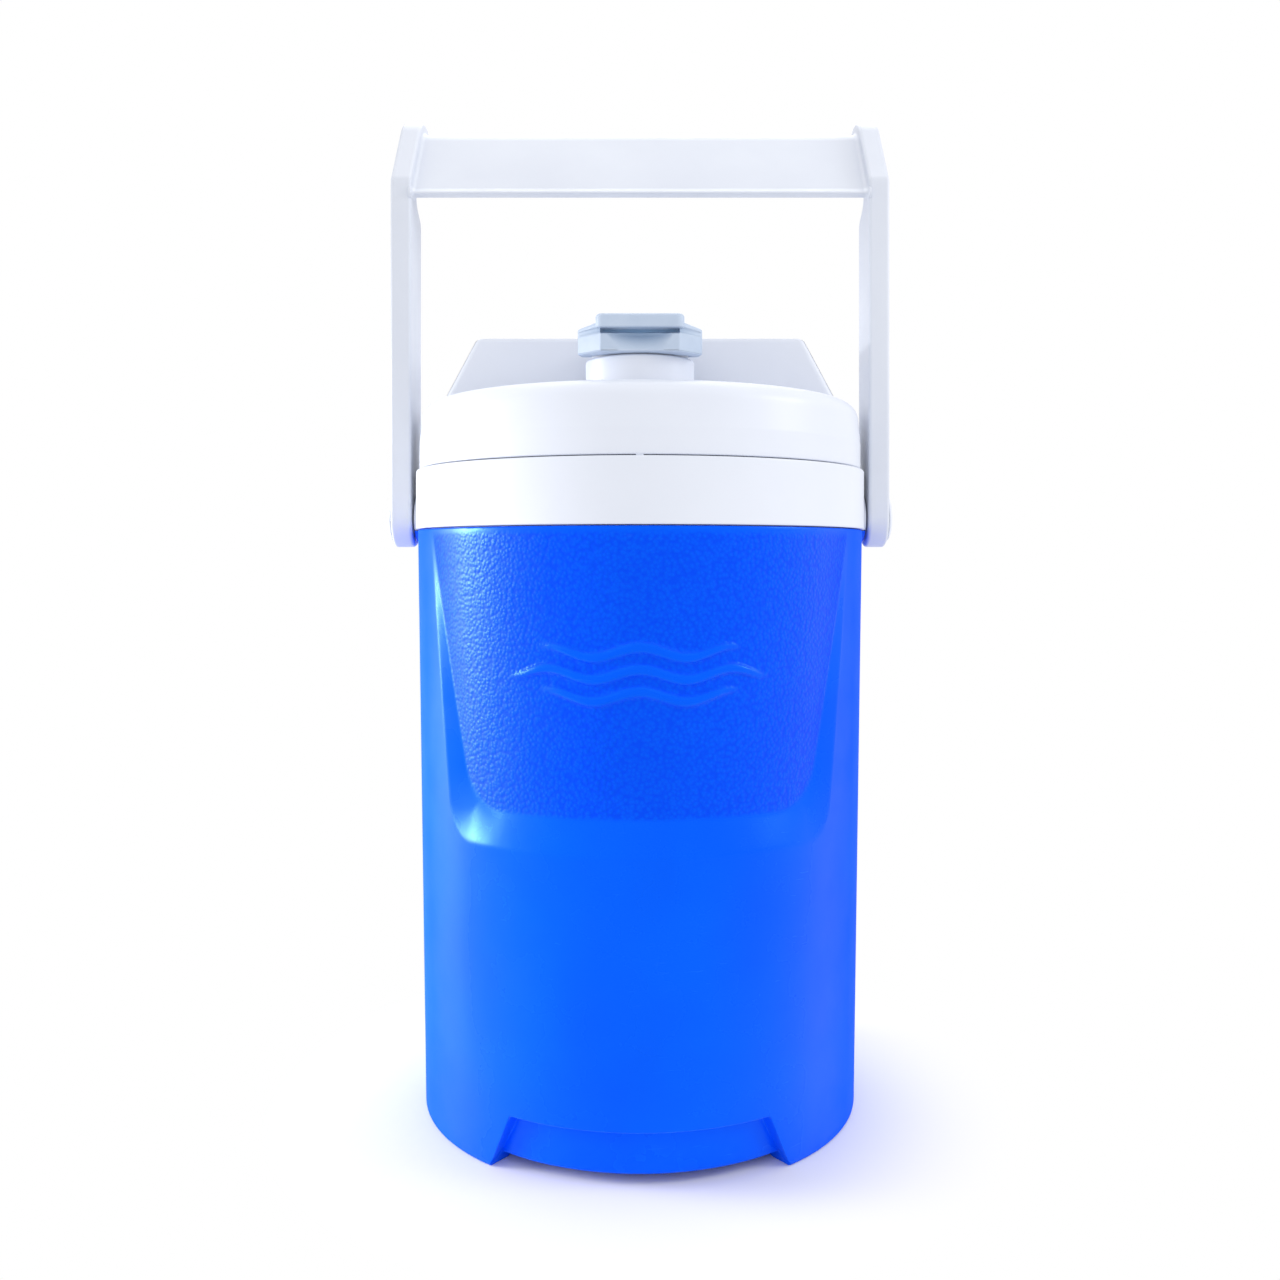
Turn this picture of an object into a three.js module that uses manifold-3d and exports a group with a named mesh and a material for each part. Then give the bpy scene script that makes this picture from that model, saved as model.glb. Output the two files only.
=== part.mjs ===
// Insulated water jug with a screw-on lid, a flip-cap drinking spout and a swinging bail handle.
// Millimetres, +Z up. The origin is the centre of the circle that the jug stands on.
// The spout and the shield-shaped front panel face -Y.
import * as THREE from "three";
import { mergeVertices } from "three/addons/utils/BufferGeometryUtils.js";
import Module from "manifold-3d";

const wasm = await Module();
wasm.setup();

// Driving dimensions
const GAP = 0.3; // clearance between pieces that touch
const ROUND = 48; // facets round the jug's own axis
const WALL = 2.4; // moulded wall thickness
const FAR = 120; // past the jug on any side

// Outer shell: a slightly tapered drum with a kick recess front and back
const BASE_R = 72.3;
const BODY_R = 75;
const BODY_TOP = 190;
const FLOOR_Z = 4; // underside of the base, inside the foot ring
const FOOT_INNER_R = 64;
const FOOT_EDGE = 0.9; // bevel round the outside of the feet
const KICK_R = 68.4;
const KICK_TOP = 16.5;
const KICK_RIM_Z = 3.2; // the shell's lower edge between the feet
const KICK_HALF_TOP = 31.8; // degrees
const KICK_HALF_BOTTOM = 37.5;
const PORT_R = 9.2; // hole in the base that the foam is poured through
const PLUG_FLANGE_R = 12;
const PLUG_FLANGE_LOW = 2.5;

// Front panel: flush at its top edge and deepest at its bottom ledge
const PANEL_TOP = 187;
const PANEL_LOW = 95.6;
const PANEL_DEPTH = 3.6;
const PANEL_LEDGE = 9.9; // height of the sloping ledge along the bottom
const PANEL_HALF_TOP = 61; // degrees
const PANEL_HALF_LOW = 50.5;
const PANEL_INNER_HALF_LOW = 44.5;

// Liner, its threaded neck and the collar round it
const LINER_R = 62.5;
const LINER_FLOOR = 15;
const LINER_CORNER = 8;
const FLARE_LOW = 186;
const FLARE_TOP = 196;
const NECK_R = 68.7;
const NECK_TOP = 225.2;
const COLLAR_R = 75.65;
const COLLAR_TOP = 209.6;
const COLLAR_LIP_Z = 183; // the collar's lip reaches down to here inside the shell
const COLLAR_LIP_R = 70.2;
const COLLAR_BORE_R = 72.8;

// Screw thread, right-handed and single-start
const PITCH = 8;
const RIB_HEIGHT = 2.2;
const RIB_ROOT = 0.4; // how far a rib reaches into the wall that carries it
const NECK_RIB_R = 70.5;
const NECK_RIB_Z = 213.2;
const NECK_RIB_TURN = 432; // degrees
const LID_RIB_R = 69.3;
const LID_RIB_DROP = 2.55; // the lid's rib runs this far under the neck's
const LID_RIB_START = 60;
const LID_RIB_TURN = 330;

// Lid
const LID_LOW = 210.4;
const LID_R = 74.5;
const LID_SHOULDER_R = 73.8;
const LID_BORE_R = 71.5;
const LID_SHOULDER = 6;
const DECK_Z = 232;
const BLOCK_TOP = 253.5;
const BLOCK_BASE_R = 66.9;
const BLOCK_TOP_R = 55.7;
const BLOCK_FRONT = -15;
const PLATE_LOW = 227.1;
const PLATE_TOP = DECK_Z - WALL - GAP;
const PLATE_R = 70.6; // at its underside; the edge slopes in under the lid's shoulder
const PLATE_TOP_R = 68.7;
const PLUG_SKIRT_LOW = 218; // the skirt under the plate reaches down to here inside the neck
const CHANNEL_SEAL_IN = 14.9;
const CHANNEL_SEAL_OUT = 17.4;
const CHANNEL_SEAL = 1.1;

// Spout neck and flip cap
const SPOUT_Y = -45;
const SPOUT_R = 16.6;
const SPOUT_SHOULDER = 240.5;
const SPOUT_LIP_R = 14.8;
const SPOUT_TOP = 244.8;
const SPOUT_BORE_R = 12;
const VENT_R = 0.7;
const VENT_Y = SPOUT_Y + 13.4;
const CAP_HALF = 18.5;
const CAP_CHAMFER = 7;
const CAP_LOW = 240.8;
const CAP_TOP = 250;
const CAP_ROOF = 2.6;
const TAB_HALF = 13;
const TAB_LOW = 247.8;
const TAB_TOP = 251.9;
const TAB_OVERHANG = 1.2;
const SCOOP_R = 42;
const SCOOP_DEPTH = 3.2;
const SCOOP_LOW = 243.2;
const HINGE_Y = -11;
const HINGE_Z = 249.5;
const HINGE_PIN_R = 1.5;
const TONGUE_BELOW = 1.6; // the tongue that joins the cap to its knuckle, from the pin's centre
const TONGUE_ABOVE = 1.4;
const NOSE_DEPTH = 2.4; // how far the plug's nose enters the bore
const NOSE_TAPER = 0.8;
const KNUCKLE_R = 3.2;
const NOTCH_HALF = 13;
const NOTCH_BACK = -5;
const NOTCH_FLOOR = 245.4;
const EAR = 5; // thickness of the block's wall beside the notch, which holds the pin

// Bail handle and its pivots
const PIVOT_Z = 194.4;
const PIVOT_R = 3.2;
const PIVOT_HEAD_R = 8;
const PIVOT_HEAD = 1.2;
const BARB_R = 4.4;
const BARB_IN = 70.4;
const BARB_OUT = 72.3;
const BARB_SEAT_R = 5.2;
const BOSS_R = 8.3;
const BOSS_FACE = 76.2;
const ARM_IN = 76.8;
const ARM_OUT = 83.8;
const ARM_HALF = 10;
const ARM_SHOULDER_Z = 298; // above here the arm's back runs forward to the slender hook
const SLOT_HALF = 5.5;
const SLOT_LOW = 216;
const SLOT_HIGH = 292;
const SLOT_DEPTH = 1.2;
const HOOK_Y = 20; // centre of the hook's arcs
const HOOK_Z = 320;
const HOOK_R = 16;
const HOOK_BAR = 9; // width of the bar that the hook is bent from
const HOOK_LEAN = 141.6; // degrees: where the arcs run into the slanting front
const HOOK_NECK_Z = 304; // foot of the slanting bar's inner edge
const HOOK_TIP_Z = 319;
const GRIP_INSET = 4;
const GRIP_WALL = 3.4;
const GRIP_REAR_Z = 317;
const GRIP_FRONT_Z = 302.8;
const GRIP_LIP_Y = 0.2 - ARM_HALF; // front face of the lip along the grip's lower edge
const GRIP_LIP = 2.9; // depth of the lip where the slanting sheet starts
const GRIP_LIP_FOOT = 5.6; // depth of the lip's underside
const GRIP_LIP_DROP = 1.8;

const rad = THREE.MathUtils.degToRad;
const bodyRadius = (z) => BASE_R + ((BODY_R - BASE_R) * z) / BODY_TOP;

// A closed geometry as a solid that can be joined and cut.
function solid(geometry) {
  const bare = geometry.index ? geometry.toNonIndexed() : geometry.clone();
  bare.deleteAttribute("normal");
  bare.deleteAttribute("uv");
  const merged = mergeVertices(bare, 1e-4);
  const corners = merged.index.array;
  const kept = [];
  for (let i = 0; i < corners.length; i += 3) {
    const [a, b, c] = [corners[i], corners[i + 1], corners[i + 2]];
    if (a !== b && b !== c && c !== a) kept.push(a, b, c);
  }
  const made = new wasm.Mesh({
    numProp: 3,
    vertProperties: merged.attributes.position.array,
    triVerts: new Uint32Array(kept),
  });
  return new wasm.Manifold(made);
}

// A solid back as a geometry.
function geometryOf(made) {
  const mesh = made.getMesh();
  const geometry = new THREE.BufferGeometry();
  geometry.setAttribute("position", new THREE.BufferAttribute(mesh.vertProperties, 3));
  geometry.setIndex(new THREE.BufferAttribute(mesh.triVerts, 1));
  const flat = geometry.toNonIndexed();
  flat.computeVertexNormals();
  return flat;
}

// Turned solid about a vertical axis at (x, y). The profile lists [radius, height], outer side upwards.
function turned(profile, facets = ROUND, x = 0, y = 0) {
  const points = profile.map(([r, z]) => new THREE.Vector2(r, z));
  const onAxis = profile[0][0] === 0 && profile[profile.length - 1][0] === 0;
  if (!onAxis) points.push(points[0].clone());
  const geometry = new THREE.LatheGeometry(points, facets);
  geometry.rotateX(Math.PI / 2);
  geometry.translate(x, y, 0);
  return solid(geometry);
}

// Box from its lowest to its highest corner.
function box([x0, y0, z0], [x1, y1, z1]) {
  const geometry = new THREE.BoxGeometry(x1 - x0, y1 - y0, z1 - z0);
  geometry.translate((x0 + x1) / 2, (y0 + y1) / 2, (z0 + z1) / 2);
  return solid(geometry);
}

// Round bar along X.
function barX(radius, x0, x1, y, z, facets = 20) {
  const geometry = new THREE.CylinderGeometry(radius, radius, x1 - x0, facets);
  geometry.rotateZ(-Math.PI / 2);
  geometry.translate((x0 + x1) / 2, y, z);
  return solid(geometry);
}

// Round bar standing at (x, y).
function barZ(radius, z0, z1, x, y, facets = 24) {
  return turned([[0, z0], [radius, z0], [radius, z1], [0, z1]], facets, x, y);
}

// Outline in the YZ plane, extruded from x0 to x1.
function sideExtrusion(shape, x0, x1, curveSegments = 12) {
  const settings = { depth: x1 - x0, bevelEnabled: false, curveSegments };
  const geometry = new THREE.ExtrudeGeometry(shape, settings);
  const toSide = new THREE.Matrix4().makeBasis(
    new THREE.Vector3(0, 1, 0),
    new THREE.Vector3(0, 0, 1),
    new THREE.Vector3(1, 0, 0),
  );
  geometry.applyMatrix4(toSide);
  geometry.translate(x0, 0, 0);
  return solid(geometry);
}

// Points of an arc in a profile, both ends included. Angles in degrees.
function arc(centreR, centreZ, radius, from, to, steps) {
  const points = [];
  for (let i = 0; i <= steps; i++) {
    const a = rad(from + ((to - from) * i) / steps);
    points.push([centreR + radius * Math.cos(a), centreZ + radius * Math.sin(a)]);
  }
  return points;
}

// Rectangular rib wound on a helix: its ends are square.
function helicalRib(innerR, outerR, startZ, startAngle, turn) {
  const steps = Math.round((turn * ROUND) / 360);
  const section = new THREE.Shape();
  section.moveTo(innerR, -RIB_HEIGHT / 2);
  section.lineTo(outerR, -RIB_HEIGHT / 2);
  section.lineTo(outerR, RIB_HEIGHT / 2);
  section.lineTo(innerR, RIB_HEIGHT / 2);
  section.closePath();
  const geometry = new THREE.ExtrudeGeometry(section, { depth: 1, steps, bevelEnabled: false });
  const place = geometry.attributes.position;
  for (let i = 0; i < place.count; i++) {
    const angle = startAngle + turn * place.getZ(i);
    const radius = place.getX(i);
    const z = startZ + place.getY(i) + (PITCH * angle) / 360;
    place.setXYZ(i, radius * Math.cos(rad(angle)), radius * Math.sin(rad(angle)), z);
  }
  geometry.index = null;
  return facingOut(geometry);
}

// A closed solid whichever way its faces were wound.
function facingOut(geometry) {
  const made = solid(geometry);
  if (made.volume() > 0) return made;
  const place = geometry.attributes.position;
  for (let i = 0; i < place.count; i += 3) {
    const [x, y, z] = [place.getX(i), place.getY(i), place.getZ(i)];
    place.setXYZ(i, place.getX(i + 1), place.getY(i + 1), place.getZ(i + 1));
    place.setXYZ(i + 1, x, y, z);
  }
  return solid(geometry);
}

// How far the front panel lies below the drum's surface at an angle from -Y (degrees) and a height.
function panelDepth(angle, z) {
  const up = (z - PANEL_LOW) / (PANEL_TOP - PANEL_LOW);
  if (up <= 0 || up >= 1) return 0;
  const outerHalf = PANEL_HALF_LOW + (PANEL_HALF_TOP - PANEL_HALF_LOW) * up;
  const innerHalf = PANEL_INNER_HALF_LOW + (PANEL_HALF_TOP - 1 - PANEL_INNER_HALF_LOW) * up;
  const fromSide = (outerHalf - Math.abs(angle)) / (outerHalf - innerHalf);
  const fromLedge = (z - PANEL_LOW) / PANEL_LEDGE;
  const inside = THREE.MathUtils.clamp(Math.min(fromSide, fromLedge), 0, 1);
  const floor = (PANEL_DEPTH * (PANEL_TOP - z)) / (PANEL_TOP - PANEL_LOW - PANEL_LEDGE);
  return Math.min(floor, PANEL_DEPTH) * inside;
}

// The drum's solid outline, offset inwards by an inset, with the panel pressed into its wall.
function drum(base, inset, top) {
  const rows = [40, PANEL_LOW, 100, PANEL_LOW + PANEL_LEDGE, 112, 120, 135, 155, 172, PANEL_TOP];
  const side = rows.filter((z) => z < top - 1).map((z) => [bodyRadius(z) - inset, z]);
  const profile = [...base, ...side, [bodyRadius(top) - inset, top], [0, top]];
  const geometry = new THREE.LatheGeometry(
    profile.map(([r, z]) => new THREE.Vector2(r, z)),
    ROUND,
  );
  geometry.rotateX(Math.PI / 2);
  const place = geometry.attributes.position;
  for (let i = 0; i < place.count; i++) {
    const [x, y, z] = [place.getX(i), place.getY(i), place.getZ(i)];
    const radius = Math.hypot(x, y);
    if (radius < BODY_R / 2) continue;
    const angle = THREE.MathUtils.radToDeg(Math.atan2(x, -y));
    const scale = (radius - panelDepth(angle, z)) / radius;
    place.setXYZ(i, x * scale, y * scale, z);
  }
  return solid(geometry);
}

// Wedges in front and behind between two slanting planes, wider at their foot, up to a height.
function kickWedges(high, grow) {
  const low = -10;
  const slope = (KICK_HALF_BOTTOM - KICK_HALF_TOP) / KICK_TOP;
  const halfWidth = (z) => Math.tan(rad(KICK_HALF_TOP + slope * (KICK_TOP - z))) * FAR + grow;
  const outline = new THREE.Shape();
  outline.moveTo(-halfWidth(low), low);
  outline.lineTo(halfWidth(low), low);
  outline.lineTo(halfWidth(high), high);
  outline.lineTo(-halfWidth(high), high);
  outline.closePath();
  const geometry = new THREE.ExtrudeGeometry(outline, { depth: 1, bevelEnabled: false });
  const place = geometry.attributes.position;
  const near = 40;
  for (let i = 0; i < place.count; i++) {
    const y = place.getZ(i) > 0.5 ? -FAR : -near;
    place.setXYZ(i, (place.getX(i) * Math.abs(y)) / FAR, y, place.getY(i));
  }
  geometry.index = null;
  const front = facingOut(geometry);
  return front.add(front.rotate([0, 0, 180]));
}

// The two hollows at the foot of the shell, one in front and one behind.
function kickRecess(grow) {
  const high = KICK_TOP + grow;
  const [inner, outer] = [KICK_R - grow, FAR * 2];
  const outside = turned([[inner, -11], [outer, -11], [outer, high + 1], [inner, high + 1]]);
  return kickWedges(high, grow).intersect(outside);
}

// The space under the shell's edge between the feet.
function footGaps() {
  const [inner, outer] = [FOOT_INNER_R - 3, FAR * 2];
  const under = turned([[inner, -11], [outer, -11], [outer, 20], [inner, 20]]);
  return kickWedges(KICK_RIM_Z, 0).intersect(under);
}

// Space inside the outer shell's wall; a positive inset leaves clearance to it.
function shellCavity(inset, top) {
  const wall = WALL + inset;
  const low = FLOOR_Z + wall;
  const base = [[0, low], [FOOT_INNER_R, low], [bodyRadius(low + 5) - wall, low + 5]];
  return drum(base, wall, top).subtract(kickRecess(wall));
}

// Boss that carries the handle's pivot, on both sides.
function bosses() {
  const right = barX(BOSS_R, BODY_R - 3, BOSS_FACE, 0, PIVOT_Z, 28);
  return right.add(right.mirror([1, 0, 0]));
}

function outerShell() {
  const top = BODY_TOP - GAP / 2;
  const base = [
    [0, FLOOR_Z],
    [FOOT_INNER_R - 2, FLOOR_Z],
    [FOOT_INNER_R, 0],
    [BASE_R - FOOT_EDGE, 0],
    [BASE_R, FOOT_EDGE],
  ];
  const lowerBosses = bosses().intersect(box([-FAR, -FAR, 0], [FAR, FAR, top]));
  const outside = drum(base, 0, top).subtract(kickRecess(0)).subtract(footGaps()).add(lowerBosses);
  const port = barZ(PORT_R, FLOOR_Z - 1, FLOOR_Z + WALL + 1, 0, 0);
  return outside.subtract(shellCavity(0, BODY_TOP + 1)).subtract(port);
}

// Outside of the liner, enlarged by a clearance.
function linerOutside(grow) {
  return [
    [0, LINER_FLOOR - grow],
    ...arc(LINER_R - LINER_CORNER, LINER_FLOOR + LINER_CORNER, LINER_CORNER + grow, -90, 0, 4),
    [LINER_R + grow, FLARE_LOW],
    [NECK_R + grow, FLARE_TOP],
    [NECK_R + grow, NECK_TOP],
  ];
}

function innerLiner() {
  const inner = LINER_R - WALL;
  const profile = [
    ...linerOutside(0),
    [NECK_R - WALL, NECK_TOP],
    [NECK_R - WALL, FLARE_TOP + 0.8],
    [inner, FLARE_LOW + 0.8],
    ...arc(LINER_R - LINER_CORNER, LINER_FLOOR + LINER_CORNER, LINER_CORNER - WALL, 0, -90, 4),
    [0, LINER_FLOOR + WALL],
  ];
  return turned(profile).add(helicalRib(NECK_R - RIB_ROOT, NECK_RIB_R, NECK_RIB_Z, 0, NECK_RIB_TURN));
}

// Foam fills the space between the shell and the liner up to the collar's lip.
function insulationFoam() {
  const liner = turned([...linerOutside(GAP), [0, NECK_TOP]]);
  return shellCavity(GAP, COLLAR_LIP_Z - GAP).subtract(liner);
}

function foamPortPlug() {
  const low = PLUG_FLANGE_LOW;
  const head = FLOOR_Z - GAP;
  const shank = PORT_R - GAP;
  const top = FLOOR_Z + WALL;
  const flange = [[0, low], [PLUG_FLANGE_R - 1, low], [PLUG_FLANGE_R, low + 0.6], [PLUG_FLANGE_R, head]];
  return turned([...flange, [shank, head], [shank, top], [0, top]], 32);
}

function collarRing() {
  const low = BODY_TOP + GAP / 2;
  const lipOuter = BODY_R - WALL - GAP;
  const mouth = NECK_R + GAP + 0.1;
  const profile = [
    [COLLAR_LIP_R, COLLAR_LIP_Z],
    [lipOuter, COLLAR_LIP_Z],
    [lipOuter, low],
    [COLLAR_R, low],
    [COLLAR_R, COLLAR_TOP - 0.8],
    [COLLAR_R - 0.8, COLLAR_TOP],
    [mouth, COLLAR_TOP],
    [mouth, COLLAR_TOP - WALL],
    [COLLAR_BORE_R, COLLAR_TOP - WALL],
    [COLLAR_BORE_R, low + WALL],
    [COLLAR_LIP_R, low + WALL],
  ];
  const upperBosses = bosses().intersect(box([-FAR, -FAR, low], [FAR, FAR, COLLAR_TOP]));
  const inside = barZ(COLLAR_BORE_R, COLLAR_LIP_Z, COLLAR_TOP - 1, 0, 0, ROUND);
  const hole = barX(PIVOT_R + GAP, COLLAR_LIP_R - 2, FAR, 0, PIVOT_Z);
  const seat = barX(BARB_SEAT_R, COLLAR_LIP_R - 2, COLLAR_BORE_R, 0, PIVOT_Z);
  const cut = hole.add(seat);
  const ring = turned(profile).add(upperBosses.subtract(inside));
  return ring.subtract(cut).subtract(cut.mirror([1, 0, 0]));
}

// Pin with a wide head outside the arm and a barb inside the collar; it stays with the collar.
function pivotPin(side) {
  const face = ARM_OUT + GAP;
  const shank = barX(PIVOT_R, BARB_IN, face + 0.2, 0, PIVOT_Z);
  const barb = barX(BARB_R, BARB_IN, BARB_OUT, 0, PIVOT_Z);
  const head = new THREE.CylinderGeometry(PIVOT_HEAD_R - 0.6, PIVOT_HEAD_R, PIVOT_HEAD, 28);
  head.rotateZ(-Math.PI / 2);
  head.translate(face + PIVOT_HEAD / 2, 0, PIVOT_Z);
  const pin = shank.add(barb).add(solid(head));
  return side > 0 ? pin : pin.mirror([1, 0, 0]);
}

// Side outline of an arm: round foot, straight shank and a slender top bent back into a hook.
function armOutline() {
  const shape = new THREE.Shape();
  const [c, s] = [Math.cos(rad(HOOK_LEAN)), Math.sin(rad(HOOK_LEAN))];
  const run = -s / c; // how far back the slanting front runs for each millimetre up
  const inner = HOOK_R - HOOK_BAR;
  const leanZ = (radius, y) => HOOK_Z + radius * s - (HOOK_Y + radius * c - y) / run;
  const leanY = (radius, z) => HOOK_Y + radius * c - (HOOK_Z + radius * s - z) * run;
  const neckY = leanY(inner, HOOK_NECK_Z);
  const soft = 3; // how far the two soft corners of the shoulder reach
  shape.moveTo(-ARM_HALF, PIVOT_Z);
  shape.absarc(0, PIVOT_Z, ARM_HALF, Math.PI, 2 * Math.PI, false);
  shape.lineTo(ARM_HALF, ARM_SHOULDER_Z - soft);
  shape.quadraticCurveTo(ARM_HALF, ARM_SHOULDER_Z, ARM_HALF - soft, ARM_SHOULDER_Z + soft / 2);
  shape.lineTo(neckY + soft, HOOK_NECK_Z - soft / 2);
  shape.quadraticCurveTo(neckY, HOOK_NECK_Z, leanY(inner, HOOK_NECK_Z + soft), HOOK_NECK_Z + soft);
  shape.lineTo(HOOK_Y + inner * c, HOOK_Z + inner * s);
  shape.absarc(HOOK_Y, HOOK_Z, inner, rad(HOOK_LEAN), 0, true);
  shape.lineTo(HOOK_Y + inner, HOOK_TIP_Z);
  shape.absarc(HOOK_Y + inner + HOOK_BAR / 2, HOOK_TIP_Z, HOOK_BAR / 2, Math.PI, 2 * Math.PI, false);
  shape.lineTo(HOOK_Y + HOOK_R, HOOK_Z);
  shape.absarc(HOOK_Y, HOOK_Z, HOOK_R, 0, rad(HOOK_LEAN), false);
  shape.lineTo(-ARM_HALF, leanZ(HOOK_R, -ARM_HALF));
  shape.closePath();
  return shape;
}

// Section of the grip: a bent sheet that follows the hooks' slanting front and round top.
function gripSection() {
  const lean = rad(HOOK_LEAN);
  const [c, s] = [Math.cos(lean), Math.sin(lean)];
  const outer = HOOK_R - GRIP_INSET;
  const inner = outer - GRIP_WALL;
  const along = (radius, y) => {
    const [arcY, arcZ] = [HOOK_Y + radius * c, HOOK_Z + radius * s];
    return [y, arcZ - ((arcY - y) * -c) / s];
  };
  const start = along(outer, GRIP_LIP_Y + GRIP_LIP);
  const back = along(inner, GRIP_LIP_Y + GRIP_LIP_FOOT);
  const shape = new THREE.Shape();
  shape.moveTo(GRIP_LIP_Y, GRIP_FRONT_Z);
  shape.lineTo(back[0] - 1, GRIP_FRONT_Z);
  shape.lineTo(back[0], back[1]);
  shape.lineTo(HOOK_Y + inner * c, HOOK_Z + inner * s);
  shape.absarc(HOOK_Y, HOOK_Z, inner, lean, 0, true);
  shape.lineTo(HOOK_Y + inner, GRIP_REAR_Z);
  shape.lineTo(HOOK_Y + outer, GRIP_REAR_Z);
  shape.lineTo(HOOK_Y + outer, HOOK_Z);
  shape.absarc(HOOK_Y, HOOK_Z, outer, 0, lean, false);
  shape.lineTo(start[0], start[1]);
  shape.lineTo(GRIP_LIP_Y, start[1] - GRIP_LIP_DROP);
  shape.closePath();
  return shape;
}

// Shallow slot sunk in an arm's outer face.
function armSlot() {
  const shape = new THREE.Shape();
  shape.moveTo(-SLOT_HALF, SLOT_LOW);
  shape.absarc(0, SLOT_LOW, SLOT_HALF, Math.PI, 2 * Math.PI, false);
  shape.lineTo(SLOT_HALF, SLOT_HIGH);
  shape.absarc(0, SLOT_HIGH, SLOT_HALF, 0, Math.PI, false);
  shape.closePath();
  return sideExtrusion(shape, ARM_OUT - SLOT_DEPTH, ARM_OUT + 5, 8);
}

function bailHandle() {
  const arm = sideExtrusion(armOutline(), ARM_IN, ARM_OUT).subtract(armSlot());
  const bored = arm.subtract(barX(PIVOT_R + GAP, ARM_IN - 2, ARM_OUT + 2, 0, PIVOT_Z));
  const grip = sideExtrusion(gripSection(), -ARM_IN - 0.6, ARM_IN + 0.6);
  return bored.add(bored.mirror([1, 0, 0])).add(grip);
}

// Cone of the raised block, cut by its flat front and by the hinge notch; inset from the outer surface.
function lidBlock(inset, low, notch) {
  const slope = (BLOCK_BASE_R - BLOCK_TOP_R) / (BLOCK_TOP - DECK_Z);
  const lean = Math.hypot(1, slope);
  const radiusAt = (z) => BLOCK_BASE_R - inset * lean - (z - DECK_Z) * slope;
  const top = BLOCK_TOP - inset;
  const profile = [[0, low], [radiusAt(low), low], [radiusAt(top), top], [0, top]];
  const front = BLOCK_FRONT + inset;
  const cut = box([-FAR, -FAR, low - 1], [FAR, front, BLOCK_TOP + 5]);
  return turned(profile).subtract(cut).subtract(notch);
}

// Notch in the block's front top edge for the cap's hinge.
function hingeNotch(side, below, behind) {
  const half = NOTCH_HALF + side;
  return box([-half, -FAR, NOTCH_FLOOR - below], [half, NOTCH_BACK + behind, BLOCK_TOP + 5]);
}

function lidShell() {
  const shoulderR = LID_SHOULDER_R - LID_SHOULDER;
  const shoulderZ = DECK_Z - LID_SHOULDER;
  const outside = turned([
    [0, LID_LOW],
    [LID_R - 0.5, LID_LOW],
    [LID_R, LID_LOW + 0.5],
    ...arc(shoulderR, shoulderZ, LID_SHOULDER, 0, 90, 5),
    [0, DECK_Z],
  ]);
  const inside = turned([
    [0, LID_LOW - 1],
    [LID_BORE_R, LID_LOW - 1],
    ...arc(shoulderR, shoulderZ, LID_SHOULDER - WALL, 0, 90, 5),
    [0, DECK_Z - WALL],
  ]);
  const block = lidBlock(0, DECK_Z - 1, hingeNotch(0, 0, 0));
  const hollow = lidBlock(WALL, DECK_Z - WALL - 1, hingeNotch(EAR, WALL, WALL));
  const neck = turned(
    [
      [0, DECK_Z - 1],
      [SPOUT_R, DECK_Z - 1],
      [SPOUT_R, SPOUT_SHOULDER],
      [SPOUT_LIP_R, SPOUT_SHOULDER],
      [SPOUT_LIP_R, SPOUT_TOP - 0.6],
      [SPOUT_LIP_R - 0.6, SPOUT_TOP],
      [0, SPOUT_TOP],
    ],
    36,
    0,
    SPOUT_Y,
  );
  const bore = barZ(SPOUT_BORE_R, DECK_Z - 5, SPOUT_TOP + 1, 0, SPOUT_Y, 40);
  const vent = barZ(VENT_R, DECK_Z - 5, SPOUT_TOP + 1, 0, VENT_Y, 10);
  const ribZ = NECK_RIB_Z - LID_RIB_DROP;
  const rib = helicalRib(LID_RIB_R, LID_BORE_R + RIB_ROOT, ribZ, LID_RIB_START, LID_RIB_TURN);
  const pinEnd = NOTCH_HALF + EAR;
  const pinHole = barX(HINGE_PIN_R + 0.1, 1.4 - pinEnd, pinEnd + 3, HINGE_Y, HINGE_Z, 20);
  return outside
    .add(block)
    .add(neck)
    .subtract(inside)
    .subtract(hollow)
    .add(rib)
    .subtract(bore)
    .subtract(vent)
    .subtract(pinHole);
}

// Underside of the lid: a flat plate with a skirt that plugs into the neck.
function lidInnerPlate() {
  const skirtOuter = NECK_R - WALL - 0.7;
  const skirtInner = skirtOuter - 2.2;
  const plate = turned([
    [0, PLATE_LOW],
    [skirtInner, PLATE_LOW],
    [skirtInner, PLUG_SKIRT_LOW],
    [skirtOuter - 0.6, PLUG_SKIRT_LOW],
    [skirtOuter, PLUG_SKIRT_LOW + 0.8],
    [skirtOuter, PLATE_LOW],
    [PLATE_R, PLATE_LOW],
    [PLATE_TOP_R, PLATE_TOP],
    [0, PLATE_TOP],
  ]);
  const bore = barZ(SPOUT_BORE_R, PLATE_LOW - 1, PLATE_TOP + 1, 0, SPOUT_Y, 40);
  const vent = barZ(VENT_R, PLATE_LOW - 1, PLATE_TOP + 1, 0, VENT_Y, 10);
  const [grooveIn, grooveOut] = [CHANNEL_SEAL_IN - GAP, CHANNEL_SEAL_OUT + GAP];
  const [grooveLow, above] = [PLATE_TOP - CHANNEL_SEAL - GAP, PLATE_TOP + 1];
  const groove = [[grooveIn, grooveLow], [grooveOut, grooveLow], [grooveOut, above], [grooveIn, above]];
  return plate.subtract(bore).subtract(vent).subtract(turned(groove, 40, 0, SPOUT_Y));
}

const lidFoam = () =>
  lidBlock(WALL + GAP, PLATE_TOP + GAP, hingeNotch(EAR + GAP, WALL + GAP, WALL + GAP));

const lidGasket = () =>
  turned([
    [NECK_R - WALL + 0.1, NECK_TOP + GAP],
    [NECK_R - 0.1, NECK_TOP + GAP],
    [NECK_R - 0.1, PLATE_LOW - GAP],
    [NECK_R - WALL + 0.1, PLATE_LOW - GAP],
  ]);

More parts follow.
